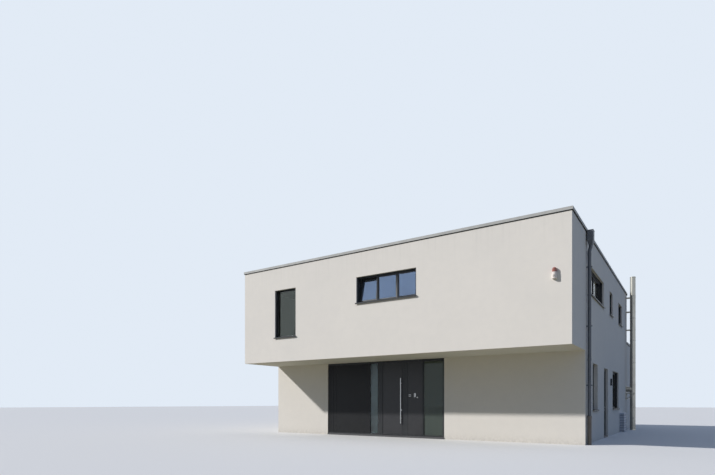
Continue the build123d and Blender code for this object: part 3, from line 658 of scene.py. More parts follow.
# %% [markdown]
# ## Patterns
# Straps, slots, louvre blades, slabs, pebbles and the roof's screws are copies of one
# small mesh. A Geometry Nodes tree spaces the copies, and changing one number changes
# the whole row. Each tree ends with real copies, and the result is taken as a plain
# mesh, so nothing is left to evaluate when the piece joins its body.

# %% Geometry Nodes trees
class Pattern(Net):
    """A Geometry Nodes tree with named inputs that spreads copies of a mesh."""

    def __init__(self, name, **inputs):
        super().__init__(bpy.data.node_groups.new(name, "GeometryNodeTree"))
        kinds = {"Geometry": "Geometry", **inputs, "Finish": "Material"}
        for label, kind in kinds.items():
            self.socket(label.replace("_", " "), "INPUT", kind)
        self.socket("Geometry", "OUTPUT", "Geometry")
        entry = self.node("NodeGroupInput").socket.node
        self.given = {s.name: Sock(self, s) for s in entry.outputs if s.name}

    def socket(self, label, side, kind):
        self.tree.interface.new_socket(label, in_out=side, socket_type="NodeSocket" + kind)

    def chance(self, low, high, seed):
        """A random vector for each copy."""
        inputs = {0: low, 1: high, "Seed": seed}
        return self.node("FunctionNodeRandomValue", inputs, {"data_type": "FLOAT_VECTOR"})

    def ends_with(self, copies):
        """Every copy gets its own lot number, becomes real and takes the finish."""
        lot = self.node("FunctionNodeRandomValue", {"Seed": 5}, out=1)
        inputs = {"Geometry": copies, "Name": "lot", "Value": lot}
        marked = self.node("GeometryNodeStoreNamedAttribute", inputs, {"domain": "INSTANCE"})
        real = self.node("GeometryNodeRealizeInstances", (marked,))
        inputs = {"Geometry": real, "Material": self.given["Finish"]}
        self.node("NodeGroupOutput", (self.node("GeometryNodeSetMaterial", inputs),))

    def spread(self, seed, finish, **values):
        """Puts a Shape through the tree and returns the plain mesh that comes out."""
        bare = placed("seed", seed.data("seed"))
        modifier = bare.modifiers.new("pattern", "NODES")
        modifier.node_group = self.tree
        values["Finish"] = finishes[finish]
        for item in self.tree.interface.items_tree:
            label = item.name.replace(" ", "_")
            if item.in_out == "INPUT" and label in values:
                modifier[item.identifier] = values[label]
        seen = bare.evaluated_get(bpy.context.evaluated_depsgraph_get())
        data = bpy.data.meshes.new_from_object(seen)
        bpy.data.objects.remove(bare)
        return data


def rows_of_copies():
    """Copies at even steps: along a line, or along several rows."""
    pattern = Pattern(
        "rows_of_copies", Count="Int", Step="Vector", Rows="Int", Row_Step="Vector", Play="Vector"
    )
    given = pattern.given
    line, rows = (
        pattern.node("GeometryNodeMeshLine", {"Count": count, "Offset": step}, {"mode": "OFFSET"})
        for count, step in ((given["Count"], given["Step"]), (given["Rows"], given["Row Step"]))
    )
    places = pattern.node("GeometryNodeInstanceOnPoints", {"Points": rows, "Instance": line})
    places = pattern.node("GeometryNodeRealizeInstances", (places,))
    shift = {"Geometry": places, "Offset": pattern.chance((0, 0, 0), given["Play"], 3)}
    places = pattern.node("GeometryNodeSetPosition", shift)
    copies = {"Points": places, "Instance": given["Geometry"]}
    pattern.ends_with(pattern.node("GeometryNodeInstanceOnPoints", copies))
    return pattern


def scattered_stones():
    """Rounded stones strewn at random over a surface."""
    pattern = Pattern("scattered_stones", Density="Float", Smallest="Vector", Largest="Vector")
    given = pattern.given
    inputs = {"Mesh": given["Geometry"], "Density": given["Density"], "Seed": 11}
    copies = {
        "Points": pattern.node("GeometryNodeDistributePointsOnFaces", inputs),
        "Instance": pattern.node("GeometryNodeMeshIcoSphere", {"Radius": 1.0, "Subdivisions": 1}),
        "Rotation": pattern.chance((-0.3, -0.3, 0), (0.3, 0.3, math.tau), 7),
        "Scale": pattern.chance(given["Smallest"], given["Largest"], 13),
    }
    pattern.ends_with(pattern.node("GeometryNodeInstanceOnPoints", copies))
    return pattern


in_rows, strewn = rows_of_copies(), scattered_stones()
print("patterns:", in_rows.tree.name, "and", strewn.tree.name)

# %% [markdown]
# ## Double glazing
# Each window's solid pane stands for a sealed unit: two sheets of glass, a metal
# spacer between them, a black seal outside and a bead inside. The units are made in
# the place of the panes. Each pane is found as a loose part of its solid, and the
# direction that its largest face looks says how far it leans, so the unit in the
# tilted sash leans with it.

# %% Finding the panes and frames
def islands(source):
    """A mesh's or node's loose parts: the points of each, and where its largest face
    looks."""
    mesh = bmesh.new()
    mesh.from_mesh(nodes[source].data if source in nodes else source)
    bmesh.ops.remove_doubles(mesh, verts=mesh.verts, dist=0.1 * MM)
    found, unseen = [], set(mesh.verts)
    while unseen:
        island, edge = set(), {unseen.pop()}
        while edge:
            island |= edge
            edge = {e.other_vert(v) for v in edge for e in v.link_edges} - island
        unseen -= island
        largest = max({f for v in island for f in v.link_faces}, key=lambda f: f.calc_area())
        found.append(([v.co.copy() for v in island], largest.normal.copy()))
    mesh.free()
    return found


def loose_boxes(node, axes=STREET):
    """The two corners of each loose part of a solid, from left to right."""
    boxes = (box_in(points, axes) for points, _ in islands(node))
    return sorted(boxes, key=lambda box: tuple(box[0]))


def panes(source, axes):
    """Each pane of a wall: its own axes, which lean with it, and its two corners."""
    found = []
    for points, normal in islands(source):
        inward = axes.inverted() @ normal
        own = axes @ Matrix.Rotation(math.atan(inward.z / inward.y), 4, "X")
        found.append((own, *box_in(points, own)))
    return sorted(found, key=lambda pane: tuple(pane[1]))


# %% [markdown]
# ## Three equal lights
# The ribbon window on the street has three equal lights, and its left sash leans in
# by some eight degrees. The bars of its solids stand up to 0.1 m further to the
# right, and their sash leans more. This window is therefore made of copies of its
# solids: the points round each bar move along together, so no section changes, and
# the sash and its pane turn about the sash's lower inner edge.

# %% The ribbon window's frame and sash
LEAN = math.radians(7.5)
BAR_REACH = 0.10  # everything this near a bar's middle moves with it
ribbon_low, ribbon_high = loose_boxes("front_window_frames")[-1]
tilted, middle, last = panes("front_window_glass", STREET)[-3:]
rebate = (last[1].x - middle[2].x) / 2
bars = (middle[1].x - rebate, middle[2].x + rebate)
targets = [ribbon_low.x + (ribbon_high.x - ribbon_low.x) * n / 3 for n in (1, 2)]
hinge = Matrix.Translation((0, ribbon_high.y, corners("tilted_sash")[0].z))
steeper = Matrix.Rotation(-LEAN, 4, "X") @ tilted[0].inverted()
steeper = hinge @ steeper @ hinge.inverted()


def refitted(node, leans=False):
    """A copy of a solid's mesh in which the ribbon window has three equal lights."""
    data = nodes[node].data.copy()
    for vertex in data.vertices:
        for bar, target in zip(bars, targets):
            if abs(vertex.co.x - bar) < BAR_REACH:
                vertex.co.x += target - bar
        if leans and ribbon_low.x < vertex.co.x < targets[0]:
            vertex.co = steeper @ vertex.co
    return data


for name, node, leans in (
    ("street_frames", "front_window_frames", False),
    ("leaning_sash", "tilted_sash", True),
):
    copy = Shape()
    copy.mesh.from_mesh(refitted(node, leans))
    bmesh.ops.remove_doubles(copy.mesh, verts=copy.mesh.verts, dist=0.1 * MM)
    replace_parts(copy.made(name, "anthracite"), node)
print("bars moved by", [round(t - b, 3) for b, t in zip(bars, targets)])

# %% Glass, spacers, seals and beads
SHEET = 4 * MM
SPACER = 12 * MM  # how far a spacer reaches in from the sheets' edge
HAIR = 0.3 * MM  # keeps faces that nearly touch apart
SEAL = [(0, 0), (0.007, 0), (0.0055, -0.003), (0.003, -0.006), (0, -0.006)]
BEAD = [(0, 0), (0.014, 0), (0.016, 0.003), (0.016, 0.009), (0.012, 0.013), (0, 0.013)]
spacers, seals, beads = Shape(), Shape(), Shape()


def glaze(name, finish, found):
    """Sealed units in the place of some panes."""
    sheets = Shape()
    for own, (u0, front, z0), (u1, back, z1) in found:
        for shape in (sheets, spacers, seals, beads):
            shape.axes = own
        u0, u1, z0, z1 = opening = (u0 + HAIR, u1 - HAIR, z0 + HAIR, z1 - HAIR)
        for near in (front, back - SHEET):
            sheets.box((u0, near, z0), (u1, near + SHEET, z1), 0.5 * MM)
        near, far = front + SHEET + HAIR, back - SHEET - HAIR
        spacers.ring(opening, [(0, near), (SPACER, near), (SPACER, far), (0, far)])
        seals.ring(opening, [(inset, front - HAIR + depth) for inset, depth in SEAL])
        beads.ring(opening, [(inset, back + HAIR + depth) for inset, depth in BEAD])
    return sheets.made(name, finish, "glass")


street_panes = panes(refitted("front_window_glass", True), STREET)
strip_pane, side_pane = panes("entrance_glass", STREET)
tall_unit = glaze("tall_window_units", "window_glass", street_panes[:1])
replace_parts(tall_unit, "front_window_glass")
glaze("ribbon_window_units", "coated_glass", street_panes[1:])
for side in ("right", "left", "rear"):
    node = f"{side}_window_glass"
    unit = glaze(f"{side}_window_units", "window_glass", panes(node, WALLS[side]))
    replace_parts(unit, node)
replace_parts(glaze("sidelight_unit", "entrance_glass", [side_pane]), "entrance_glass")
glaze("satin_strip_unit", "satin_glass", [strip_pane])
spacers.made("glass_spacers", "spacer", "stainless")
seals.made("glass_seals", "rubber", "anthracite")
beads.made("glass_beads", "anthracite")
print("panes on the street front:", len(street_panes))

# %% [markdown]
# ## Blinds and window boards
# The windows with guide rails have an outside blind. It is drawn up into the wall, so
# only its bottom bar shows under the head. Inside, each window that starts well above
# the floor has a white board on its sill.

# %% Blinds and window boards
RAIL_SPACE = 48 * MM  # a guide rail's width and some play
BLIND_DEPTH, BAR_THICK, BAR_HEIGHT = 36 * MM, 24 * MM, 20 * MM
NOSING, BOARD_DEPTH, BOARD_TOP, LOWEST_BOARD = 20 * MM, 225 * MM, 22 * MM, 0.3
blind_bars, boards = Shape(), Shape()
for side in sorted(WALLS):
    blind_bars.axes = boards.axes = WALLS[side]
    for (u0, outer, z0), (u1, inner, z1) in loose_boxes(f"{side}_window_frames", WALLS[side]):
        if inner - outer > 0.1:  # only the deep frames have guide rails
            bar = outer + BLIND_DEPTH - BAR_THICK / 2
            blind_bars.box(
                (u0 + RAIL_SPACE, bar, z1 - BAR_HEIGHT),
                (u1 - RAIL_SPACE, bar + BAR_THICK, z1 - HAIR),
                3 * MM,
            )
        if z0 - (FLOOR_TOP if z1 < SOFFIT else UPPER_FLOOR_TOP) > LOWEST_BOARD:
            for u, near, far in ((-NOSING, HAIR, NOSING), (HAIR, NOSING, BOARD_DEPTH)):
                low, high = (u0 + u, inner + near, z0 + HAIR), (u1 - u, inner + far, z0 + BOARD_TOP)
                boards.box(low, high, 2 * MM)
blind_bars.made("blind_bars", "anthracite")
boards.made("window_boards", "board_white", "white_render")
print("windows:", sum(len(islands(f"{side}_window_frames")) for side in WALLS))

# %% [markdown]
# ## Copings and the roof's edge
# The parapets carry a folded metal coping in lengths of about three metres. Where two
# lengths meet, a strap of the same metal laps over the joint. Behind the parapet the
# roof's membrane runs up the wall to a clamping rail, held by a screw every 300 mm.
# For each side one strap and one screw are modelled, and rows of copies do the rest.

# %% Coping straps, membrane and clamping rail
LAP, DROP = 30 * MM, 80 * MM  # how far the coping stands out, and its turned-down face
STRAP_WIDTH, STRAP_SHEET, STRAP_UP = 70 * MM, 1.5 * MM, 2 * MM
MEMBRANE, RAIL_SHEET, RAIL_HEIGHT, RAIL_BELOW = 5 * MM, 3 * MM, 30 * MM, 45 * MM
MEMBRANE_UP, RAIL_END = 8 * MM, 10 * MM  # above the rail, and short of its corners
COPING_LENGTH, SCREW_STEP, FIRST_SCREW = 3.0, 0.3, 0.1
roof_low, roof_high = corners("roof_slab")
terrace_low, terrace_high = corners("terrace_slab")
upper_top = corners("wall_copings")[1].z
terrace_top = corners("terrace_parapet")[1].z + upper_top - PARAPET
PARAPET_WALL = terrace_low.x - x_left
plans = (
    (y_front, y_upper_back, WALL, upper_top, (STREET, RIGHT, REAR, LEFT)),
    (y_upper_back, y_back, PARAPET_WALL, terrace_top, (RIGHT, REAR, LEFT)),
)
parapets = []
for y0, y1, thick, top, walls in plans:
    for axes in walls:
        plan = [Vector((x_left, y0, 0)), Vector((x_right, y1, 0))]
        parapets.append((axes, thick, top, *box_in(plan, axes)))


def screw(shape, place, out=-1):
    """A pan-head screw with a recess. Out is -1 on a wall's outer face, 1 on an inner."""
    head = [(0, 0), (0, 4), (1, 4), (2.4, 3), (2.6, 1.68), (1.2, 1.4), (1.2, 0)]
    profile = [(out * along * MM, across * MM) for along, across in head]
    return shape.turned(profile, place, axis=1, sides=10)


def over(face, thick, top, out):
    """The corners of a strap folded over a parapet, some way outside its coping."""
    near, far, foot = face - LAP - out, face + thick + LAP + out, top - DROP + STRAP_UP
    return [(near, foot), (near, top + out), (far, top + out), (far, foot)]


straps, membrane, rails, rail_screws = Shape(), Shape(), Shape(), Shape()
for axes, thick, top, (start, face, _), (end, _, _) in parapets:
    lengths = round((end - start) / COPING_LENGTH)
    step = (end - start) / lengths
    if lengths > 1:
        inner, outer = (over(face, thick, top, out) for out in (HAIR, HAIR + STRAP_SHEET))
        first = start + step - STRAP_WIDTH / 2
        strap = Shape(axes).folded(outer, inner, first, first + STRAP_WIDTH)
        straps.row(strap, "coping_grey", lengths - 1, axes @ Vector((step, 0, 0)))
    if top == upper_top:
        left, right = start + WALL, end - WALL
        back, rail = face + thick + HAIR, top - DROP - RAIL_BELOW
        membrane.axes = rails.axes = axes
        high = (right, back + MEMBRANE, rail + RAIL_HEIGHT + MEMBRANE_UP)
        membrane.box((left, back, roof_high.z), high, 2 * MM)
        back += MEMBRANE
        high = (right - RAIL_END, back + RAIL_SHEET, rail + RAIL_HEIGHT)
        rails.box((left + RAIL_END, back, rail), high)
        at = (right - FIRST_SCREW, back + RAIL_SHEET + HAIR, rail + RAIL_HEIGHT / 2)
        head = screw(Shape(axes), at, out=1)
        count = int((right - left) / SCREW_STEP)
        rail_screws.row(head, "stainless", count, axes @ Vector((-SCREW_STEP, 0, 0)))

SHADOW_STRIP_OUT, SHADOW_STRIP_DROP, SHADOW_STRIP_UP = 12 * MM, 18 * MM, 4 * MM  # a dark strip below the coping: painted shadow under its edge
coping_beads = Shape()
left, right = (x_left, -1), (x_right, 1)  # a place, and the way out from it
front, back, joint, rear = (y_front, -1), (y_upper_back, 1), (y_upper_back + HAIR, 0), (y_back, 1)
upper = ((left, front), (right, front), (right, back), (left, back))
terrace = ((left, joint), (left, rear), (right, rear), (right, joint))
for top, closed, stations in ((upper_top, True, upper), (terrace_top, False, terrace)):
    low, high = top - DROP - SHADOW_STRIP_DROP, top - DROP + SHADOW_STRIP_UP
    section = [(HAIR, low), (SHADOW_STRIP_OUT, low), (SHADOW_STRIP_OUT, high), (HAIR, high)]
    coping_beads.skin(
        [[(x + i * out, y + j * out, z) for out, z in section] for (x, i), (y, j) in stations],
        closed,
    )
coping_beads.made("coping_beads", "anthracite")
straps.made("coping_straps", "coping_grey")
membrane.made("roof_membrane", "membrane", "anthracite")
rails.made("clamping_rail", "spacer", "stainless")
rail_screws.made("rail_screws", "stainless")
print("parapets:", len(parapets))

# %% [markdown]
# ## Gravel and paving slabs
# A few thousand rounded stones lie on the gravel bed, each a coarse sphere squashed
# and turned by its own random numbers. The terrace has concrete slabs with open
# joints. Every copy keeps a lot number, and the finish reads it to give each stone
# and each slab its own grey.

# %% Loose stones and terrace slabs
bed = Shape()
(x0, y0, _), (x1, y1, top) = roof_low, roof_high
plan = ((x0, y0), (x1, y0), (x1, y1), (x0, y1))
bed.mesh.faces.new([bed.mesh.verts.new((x, y, top + HAIR)) for x, y in plan])
sizes = {"Density": 62.0, "Smallest": (0.010, 0.008, 0.006), "Largest": (0.026, 0.021, 0.016)}
stones = strewn.spread(bed, "loose_stone", **sizes)
settle("roof_stones", stones, "loose_stone")

ACROSS, DEEP, JOINT, SLAB_EDGE, SLAB_THICK = 19, 4, 6 * MM, 12 * MM, 38 * MM
wide, deep = (terrace_high[i] - terrace_low[i] - 2 * SLAB_EDGE for i in (0, 1))
pitch_x, pitch_y = (wide + JOINT) / ACROSS, (deep + JOINT) / DEEP
corner = Vector((terrace_low.x + SLAB_EDGE, terrace_low.y + SLAB_EDGE, terrace_high.z + HAIR))
size = Vector((pitch_x - JOINT, pitch_y - JOINT, SLAB_THICK))
slab = Shape().box(corner, corner + size, 3 * MM)
steps = {"Count": ACROSS, "Step": (pitch_x, 0, 0), "Rows": DEEP, "Row_Step": (0, pitch_y, 0)}
slabs = in_rows.spread(slab, "terrace_paving", **steps, Play=(1 * MM, 1 * MM, 1.5 * MM))
settle("terrace_slabs", slabs, "terrace_paving")
print("stones:", len(stones.vertices) // 12, "slabs:", ACROSS * DEEP)

# %% [markdown]
# ## The entrance
# The entrance is one row of metal panels, a door and two strips of glass. The panels
# are cassettes: a folded sheet on each, with a dark joint all round. The last panel
# on the left is made of three upright boards, and the one on the right carries the
# bell with its lens, slots and buttons. The door has a cassette of its own, a weather
# bar at its foot, a lock and round seats under the posts of its long handle, and they
# all ride on the leaf. The sheets stay behind the frame's lip, so the leaf can turn.

# %% Panels, door and bell
SHEET_METAL = 4 * MM
PANEL_JOINT, BOARD_JOINT, BOARD_OUT, BOARDS = 5 * MM, 4 * MM, 5.5 * MM, 3


def cassette(low, high, joint):
    """A folded sheet in front of a panel's or leaf's outer face."""
    face = low.y - HAIR
    inside = (low.x + joint, face - SHEET_METAL, low.z + joint)
    return Shape().box(inside, (high.x - joint, face, high.z - joint), 1.5 * MM)


(end_low, end_high), wide_panel, bell_panel = loose_boxes("entrance_panels")
cassette(*wide_panel, PANEL_JOINT).made("wide_cassette", "anthracite_panel")
cassette(*bell_panel, PANEL_JOINT).made("bell_cassette", "bell_panel", "anthracite_panel")
face = end_low.y - HAIR
pitch = (end_high.x - end_low.x) / BOARDS
board = Shape().box(
    (end_low.x + BOARD_JOINT, end_low.y - BOARD_OUT, end_low.z + BOARD_JOINT),
    (end_low.x + pitch - BOARD_JOINT, face, end_high.z - BOARD_JOINT),
    2 * MM,
)
boards = Shape().row(board, "anthracite_panel", BOARDS, (pitch, 0, 0))
boards.made("end_panel_boards", "anthracite_panel")

LEAF_EDGE = 24 * MM
BAR_OUT, BAR_FOOT, BAR_HEAD = 16 * MM, 12 * MM, 42 * MM
leaf_low, leaf_high = corners("front_door")
leaf_sheet = cassette(leaf_low, leaf_high, LEAF_EDGE)
leaf_sheet.made("door_cassette", "leaf_panel", "anthracite", "front_door")
on_leaf = leaf_low.y - SHEET_METAL - HAIR
weather_bar = Shape().box(
    (leaf_low.x + LEAF_EDGE, leaf_low.y - BAR_OUT, leaf_low.z + BAR_FOOT),
    (leaf_high.x - LEAF_EDGE, on_leaf, leaf_low.z + BAR_HEAD),
    3 * MM,
)
weather_bar.made("door_weather_bar", "anthracite", body="front_door")

POST_INSET, SEAT, POST, LOCK_HEIGHT = 180 * MM, 19 * MM, 11.3 * MM, 0.96
seat = [(0, POST), (0, SEAT), (-0.004, SEAT), (-0.006, SEAT - 2 * MM), (-0.006, POST)]
lock = [(0, 0), (0, 0.026), (-0.005, 0.026), (-0.007, 0.023), (-0.007, 0.0095), (-0.010, 0.0085)]
lock += [(-0.010, 0.002), (-0.007, 0.002), (-0.007, 0)]
pull_low, pull_high = loose_boxes("front_door_handles")[-1]
pull_x = (pull_low.x + pull_high.x) / 2
seats = Shape().turned(lock, (pull_x, on_leaf - HAIR, LOCK_HEIGHT), axis=1)
for z in (pull_low.z + POST_INSET, pull_high.z - POST_INSET):
    seats.turned(seat, (pull_x, on_leaf - HAIR, z), axis=1, closed=True)
seats.made("handle_seats", "stainless", body="front_door")

reader, plate, button = loose_boxes("door_bell")
plate_x, plate_face, plate_foot = (plate[0].x + plate[1].x) / 2, plate[0].y - HAIR, plate[0].z
DARK_SIDE, DARK_FOOT, FACE_EDGE = 22 * MM, 36 * MM, 2 * MM
LENS_DOWN, BUTTON_UP, SLOTS, SLOT_UP, SLOT_STEP = 30 * MM, 24 * MM, 5, 50 * MM, 7 * MM
SLOT_LEFT, SLOT_RIGHT, SLOT_HIGH = 16 * MM, 26 * MM, 3 * MM
STRIP_LEFT, STRIP_RIGHT, STRIP_HIGH = 6 * MM, 10 * MM, 12 * MM  # the reader's two bars
STRIP_BELOW, STRIP_ABOVE, STRIP_THICK = 18 * MM, 6 * MM, 4 * MM
glossy = [(0, 0), (0, 0.011), (-0.002, 0.011), (-0.004, 0.007), (-0.005, 0)]
lens = Shape().turned(glossy, (plate_x, plate_face, plate[1].z - LENS_DOWN), axis=1)
# Two dark gloss strips darken the plate along its left side and its foot: painted shade at the
# plate's edges.
side = plate[0].x + DARK_SIDE
for x0, z0, x1, z1 in (
    (reader[0].x, reader[0].z, reader[1].x, reader[1].z),
    (plate[0].x, plate_foot, side, plate[1].z),
    (side - FACE_EDGE, plate_foot, plate[1].x, plate_foot + DARK_FOOT),
):
    low = (x0 + FACE_EDGE, reader[0].y - MM, z0 + FACE_EDGE)
    lens.box(low, (x1 - FACE_EDGE, reader[0].y - HAIR, z1 - FACE_EDGE), HAIR)
lens.made("bell_lens", "dark_gloss", "siren_red")
reader_bars = Shape()
for z in (reader[0].z - STRIP_BELOW, reader[1].z + STRIP_ABOVE):
    low = (reader[0].x + STRIP_LEFT, face - SHEET_METAL - STRIP_THICK, z)
    high = (reader[1].x - STRIP_RIGHT, face - SHEET_METAL - HAIR, z + STRIP_HIGH)
    reader_bars.box(low, high)
reader_bars.made("reader_bars", "stainless")
slot = Shape().box(
    (plate_x - SLOT_LEFT, plate_face - 2 * HAIR, plate_foot + SLOT_UP),
    (plate_x + SLOT_RIGHT, plate_face, plate_foot + SLOT_UP + SLOT_HIGH),
    HAIR / 2,
)
slots = Shape().row(slot, "rubber", SLOTS, (0, 0, SLOT_STEP))
slots.made("bell_slots", "rubber", "anthracite")
knob = [(0, 0), (0, 0.013), (-0.003, 0.013), (-0.0045, 0.011), (-0.0035, 0)]
call = Shape().turned(knob, (plate_x, plate_face, plate_foot + BUTTON_UP), axis=1)
middle = (button[0] + button[1]) / 2
call.turned(knob, (middle.x, button[0].y - HAIR, middle.z), axis=1)
call.made("bell_buttons", "stainless")
print("door leaf:", [round(c, 3) for c in leaf_high - leaf_low])

# %% [markdown]
# ## Rainwater pipe and flue
# Zinc pipes come in lengths that plug into each other, so a collar shows at each
# joint, and each clip is closed by a bolt through two lugs. The flue is a double
# steel pipe: its sections are held by bands with a toggle, a seam runs up its back,
# and a curved door near its foot lets it be swept. Round pieces are turned as on a
# lathe, and curved plates are wrapped round the pipe's axis.

# %% Pipe collars, hopper rim and clip bolts
COLLAR_HEIGHTS, BELOW_HOPPER, HOPPER_DEPTH = (2.42, 4.28), 0.30, 160 * MM
NUT_RADIUS, NUT, NUT_OUT, LUG_WIDE, LUG_HIGH = 6.5 * MM, 5 * MM, 12 * MM, 22 * MM, 30 * MM
LUG_NEAR, LUG_FAR = 2 * MM, 7 * MM  # from the clip's middle to a lug's two faces
stand_low, stand_high = corners("stand_pipe")
down_low, down_high = corners("downpipe")
pipe = (stand_low + stand_high) / 2
PIPE = (down_high.y - down_low.y) / 2
inside, outside = PIPE + HAIR, PIPE + 4 * MM
sleeve = [(0, inside), (0, outside), (0.048, outside), (0.056, outside + 2.5 * MM)]
sleeve += [(0.064, outside), (0.064, inside)]
reducer = [(0, inside), (0, stand_high.x - pipe.x - 2 * MM)]
reducer += [(0.010, PIPE + 8 * MM), (0.020, inside)]
places = [(sleeve, z) for z in (*COLLAR_HEIGHTS, down_high.z - BELOW_HOPPER)]
places.append((reducer, stand_high.z + HAIR))
collars = Shape()
for profile, z in places:
    collars.turned(profile, (pipe.x, pipe.y, z), closed=True)
hopper_low, hopper_high = corners("rain_hopper")
rim = [(-0.004, -0.020), (-0.006, -0.010), (-0.004, HAIR), (-HAIR, HAIR), (-HAIR, -0.020)]
opening = (hopper_high.x - HOPPER_DEPTH, hopper_high.x, hopper_low.y, hopper_high.y)
collars.ring(opening, [(inset, hopper_high.z + z) for inset, z in rim], level=True)
collars.made("pipe_collars", "dark_zinc")
clips = loose_boxes("pipe_clips")
clip_heights = sorted({round(low.z, 3) for low, _ in clips})
clip_out = max(high.x for _, high in clips)
bolts = Shape()
for z in clip_heights:
    for side in (-1, 1):
        near, far = sorted(pipe.y + side * gap for gap in (LUG_NEAR, LUG_FAR))
        bolts.box((clip_out - HAIR, near, z), (clip_out + LUG_WIDE, far, z + LUG_HIGH))
        nut = [(0, 0), (0, NUT_RADIUS), (side * NUT, NUT_RADIUS), (side * NUT, 0)]
        at = (clip_out + NUT_OUT, pipe.y + side * (LUG_FAR + HAIR), z + LUG_HIGH / 2)
        bolts.turned(nut, at, axis=1, sides=6)
bolts.made("clip_lugs", "dark_zinc")
print("clips:", len(clip_heights), "pipe radius:", round(PIPE, 4))

# %% Flue bands, seam, sweeping door and cap
BAND, FLUE = 4 * MM, 112.5 * MM  # a band's thickness, and the pipe's radius
DOOR_LEVELS, TOGGLE_LEVELS, DOOR_AT = (0.42, 0.66), (0.50, 0.58), -75
SEAM_AT, SEAM_END = 150, 0.05  # its angle, and how far from the pipe's ends it stops
flue_low, flue_high = corners("flue_pipe")
flue = Vector((flue_high.x - BAND - FLUE, (flue_low.y + flue_high.y) / 2, 0))
fittings, toggles = Shape(), Shape()
bead = [(0, FLUE + BAND), (0.003, FLUE + BAND + 3 * MM), (0.006, FLUE + BAND)]
for n in range(1, int(flue_high.z) + 1):
    for z in (n + 4 * MM, n + 30 * MM):
        fittings.turned(bead, (flue.x, flue.y, z), sides=40, closed=True)
    levels = (n + 10 * MM, n + 30 * MM)
    toggles.wrapped(flue, FLUE + BAND + HAIR, 10 * MM, -70, 7, levels, 3)
cap = [(-0.040, FLUE + HAIR), (-0.040, FLUE + 5 * MM), (0, FLUE + 5 * MM)]
cap += [(0.006, FLUE - 6 * MM), (0.006, 0.080), (HAIR, 0.0755)]
foot = [(0, FLUE + HAIR), (0, FLUE + 28 * MM), (0.006, FLUE + 26 * MM)]
foot += [(0.009, FLUE + 6 * MM), (0.030, FLUE + HAIR)]
for profile, z in ((cap, flue_high.z), (foot, HAIR)):
    fittings.turned(profile, (flue.x, flue.y, z), sides=48, closed=True)
seam = (SEAM_END, flue_high.z - SEAM_END)
fittings.wrapped(flue, FLUE + HAIR, 1.4 * MM, SEAM_AT, 1.5, seam, 2)
fittings.wrapped(flue, FLUE + HAIR, 5 * MM, DOOR_AT, 36, DOOR_LEVELS, 14)
toggles.wrapped(flue, FLUE + 5 * MM + 2 * HAIR, 12 * MM, DOOR_AT, 5, TOGGLE_LEVELS, 3)
fittings.made("flue_fittings", "flue_steel", "stainless")
toggles.made("flue_toggles", "spacer", "stainless")
print("flue radius:", FLUE, "height:", round(flue_high.z, 2))

# %% [markdown]
# ## Screws, bolts and handles
# The small pieces that hold the others: screws in both halves of each hinge, bolts
# through the flue's wall plates and feet for its console. The side door gets a lock
# under its lever, and each window that opens a handle. The screws in a hinge's leaf
# half ride on its door.

# %% Screws, bolts and handles
def bolt(shape, at):
    """A bolt's head with six sides, on its washer."""
    washer = [(0, 0), (0, 0.011), (-0.0015, 0.011), (-0.0015, 0)]
    head = [(-0.0018, 0), (-0.0018, 0.0085), (-0.0075, 0.0085), (-0.0085, 0.0070), (-0.0085, 0)]
    shape.turned(washer, at, axis=1, sides=20)
    shape.turned(head, at, axis=1, sides=6)


HINGE_PLATE, PLATE_WIDTH, KNUCKLE, HALF = 3 * MM, 34 * MM, 11 * MM, 60 * MM
SCREW_IN, SCREW_UP = 11 * MM, 14 * MM
HINGE_REACH = 0.1  # no hinge starts further to the left of its door
fixed = Shape()
for axes, body in ((STREET, "front_door"), (RIGHT, "side_door")):
    fixed.axes, leaf_half = axes, Shape(axes)
    door_low, door_high = corners(body, axes)
    for low, high in loose_boxes("door_hinges", axes):
        if not door_low.x - HINGE_REACH < low.x < door_high.x:
            continue  # it carries the other door
        face = low.y + HINGE_PLATE + HAIR
        leaf_x = high.x - KNUCKLE + PLATE_WIDTH - SCREW_IN
        for z in (low.z + SCREW_UP, low.z + HALF - SCREW_UP):
            screw(fixed, (low.x + SCREW_IN, face, z), 1)
            screw(leaf_half, (leaf_x, face, z + HALF), 1)
    leaf_half.made(f"{body}_hinge_screws", "stainless", body=body)
fixed.made("hinge_screws", "stainless")

BRACKET_PLATE, BOLT_REACH = 8 * MM, 90 * MM
LUG, LUG_WIDTH, LUG_HALF, LUG_IN = 4 * MM, 34 * MM, 18 * MM, 50 * MM
LOWEST_CONSOLE = 0.1  # a support that is lower is a bracket
bolts, lugs = Shape(RIGHT), Shape(RIGHT)
wall_face = -corners("right_wall_rear")[1].x
supports = loose_boxes("flue_supports", RIGHT)
for low, high in supports:
    if high.z - low.z < LOWEST_CONSOLE:
        for reach in (-BOLT_REACH, BOLT_REACH):
            u, z = (low.x + high.x) / 2 + reach, (low.z + high.z) / 2
            bolt(bolts, (u, wall_face - BRACKET_PLATE - HAIR, z))
        continue
    for start, end in ((low.x - LUG_WIDTH, low.x - HAIR), (high.x + HAIR, high.x + LUG_WIDTH)):
        for z in (low.z + LUG_IN, high.z - LUG_IN):
            foot = (start, wall_face - LUG, z - LUG_HALF)
            lugs.box(foot, (end, wall_face - HAIR, z + LUG_HALF))
            bolt(bolts, ((start + end) / 2, wall_face - LUG - HAIR, z))
bolts.made("flue_bolts", "spacer", "stainless")
lugs.made("console_lugs", "flue_steel", "stainless")

LOCK_BELOW, ROSE = 90 * MM, 26 * MM
lever_low, lever_high = corners("side_door_levers", RIGHT)
z = (lever_low.z + lever_high.z) / 2 - LOCK_BELOW
at = (lever_high.x - ROSE, corners("side_door", RIGHT)[0].y - HAIR, z)
Shape(RIGHT).turned(lock, at, axis=1).made("side_door_lock", "stainless", body="side_door")

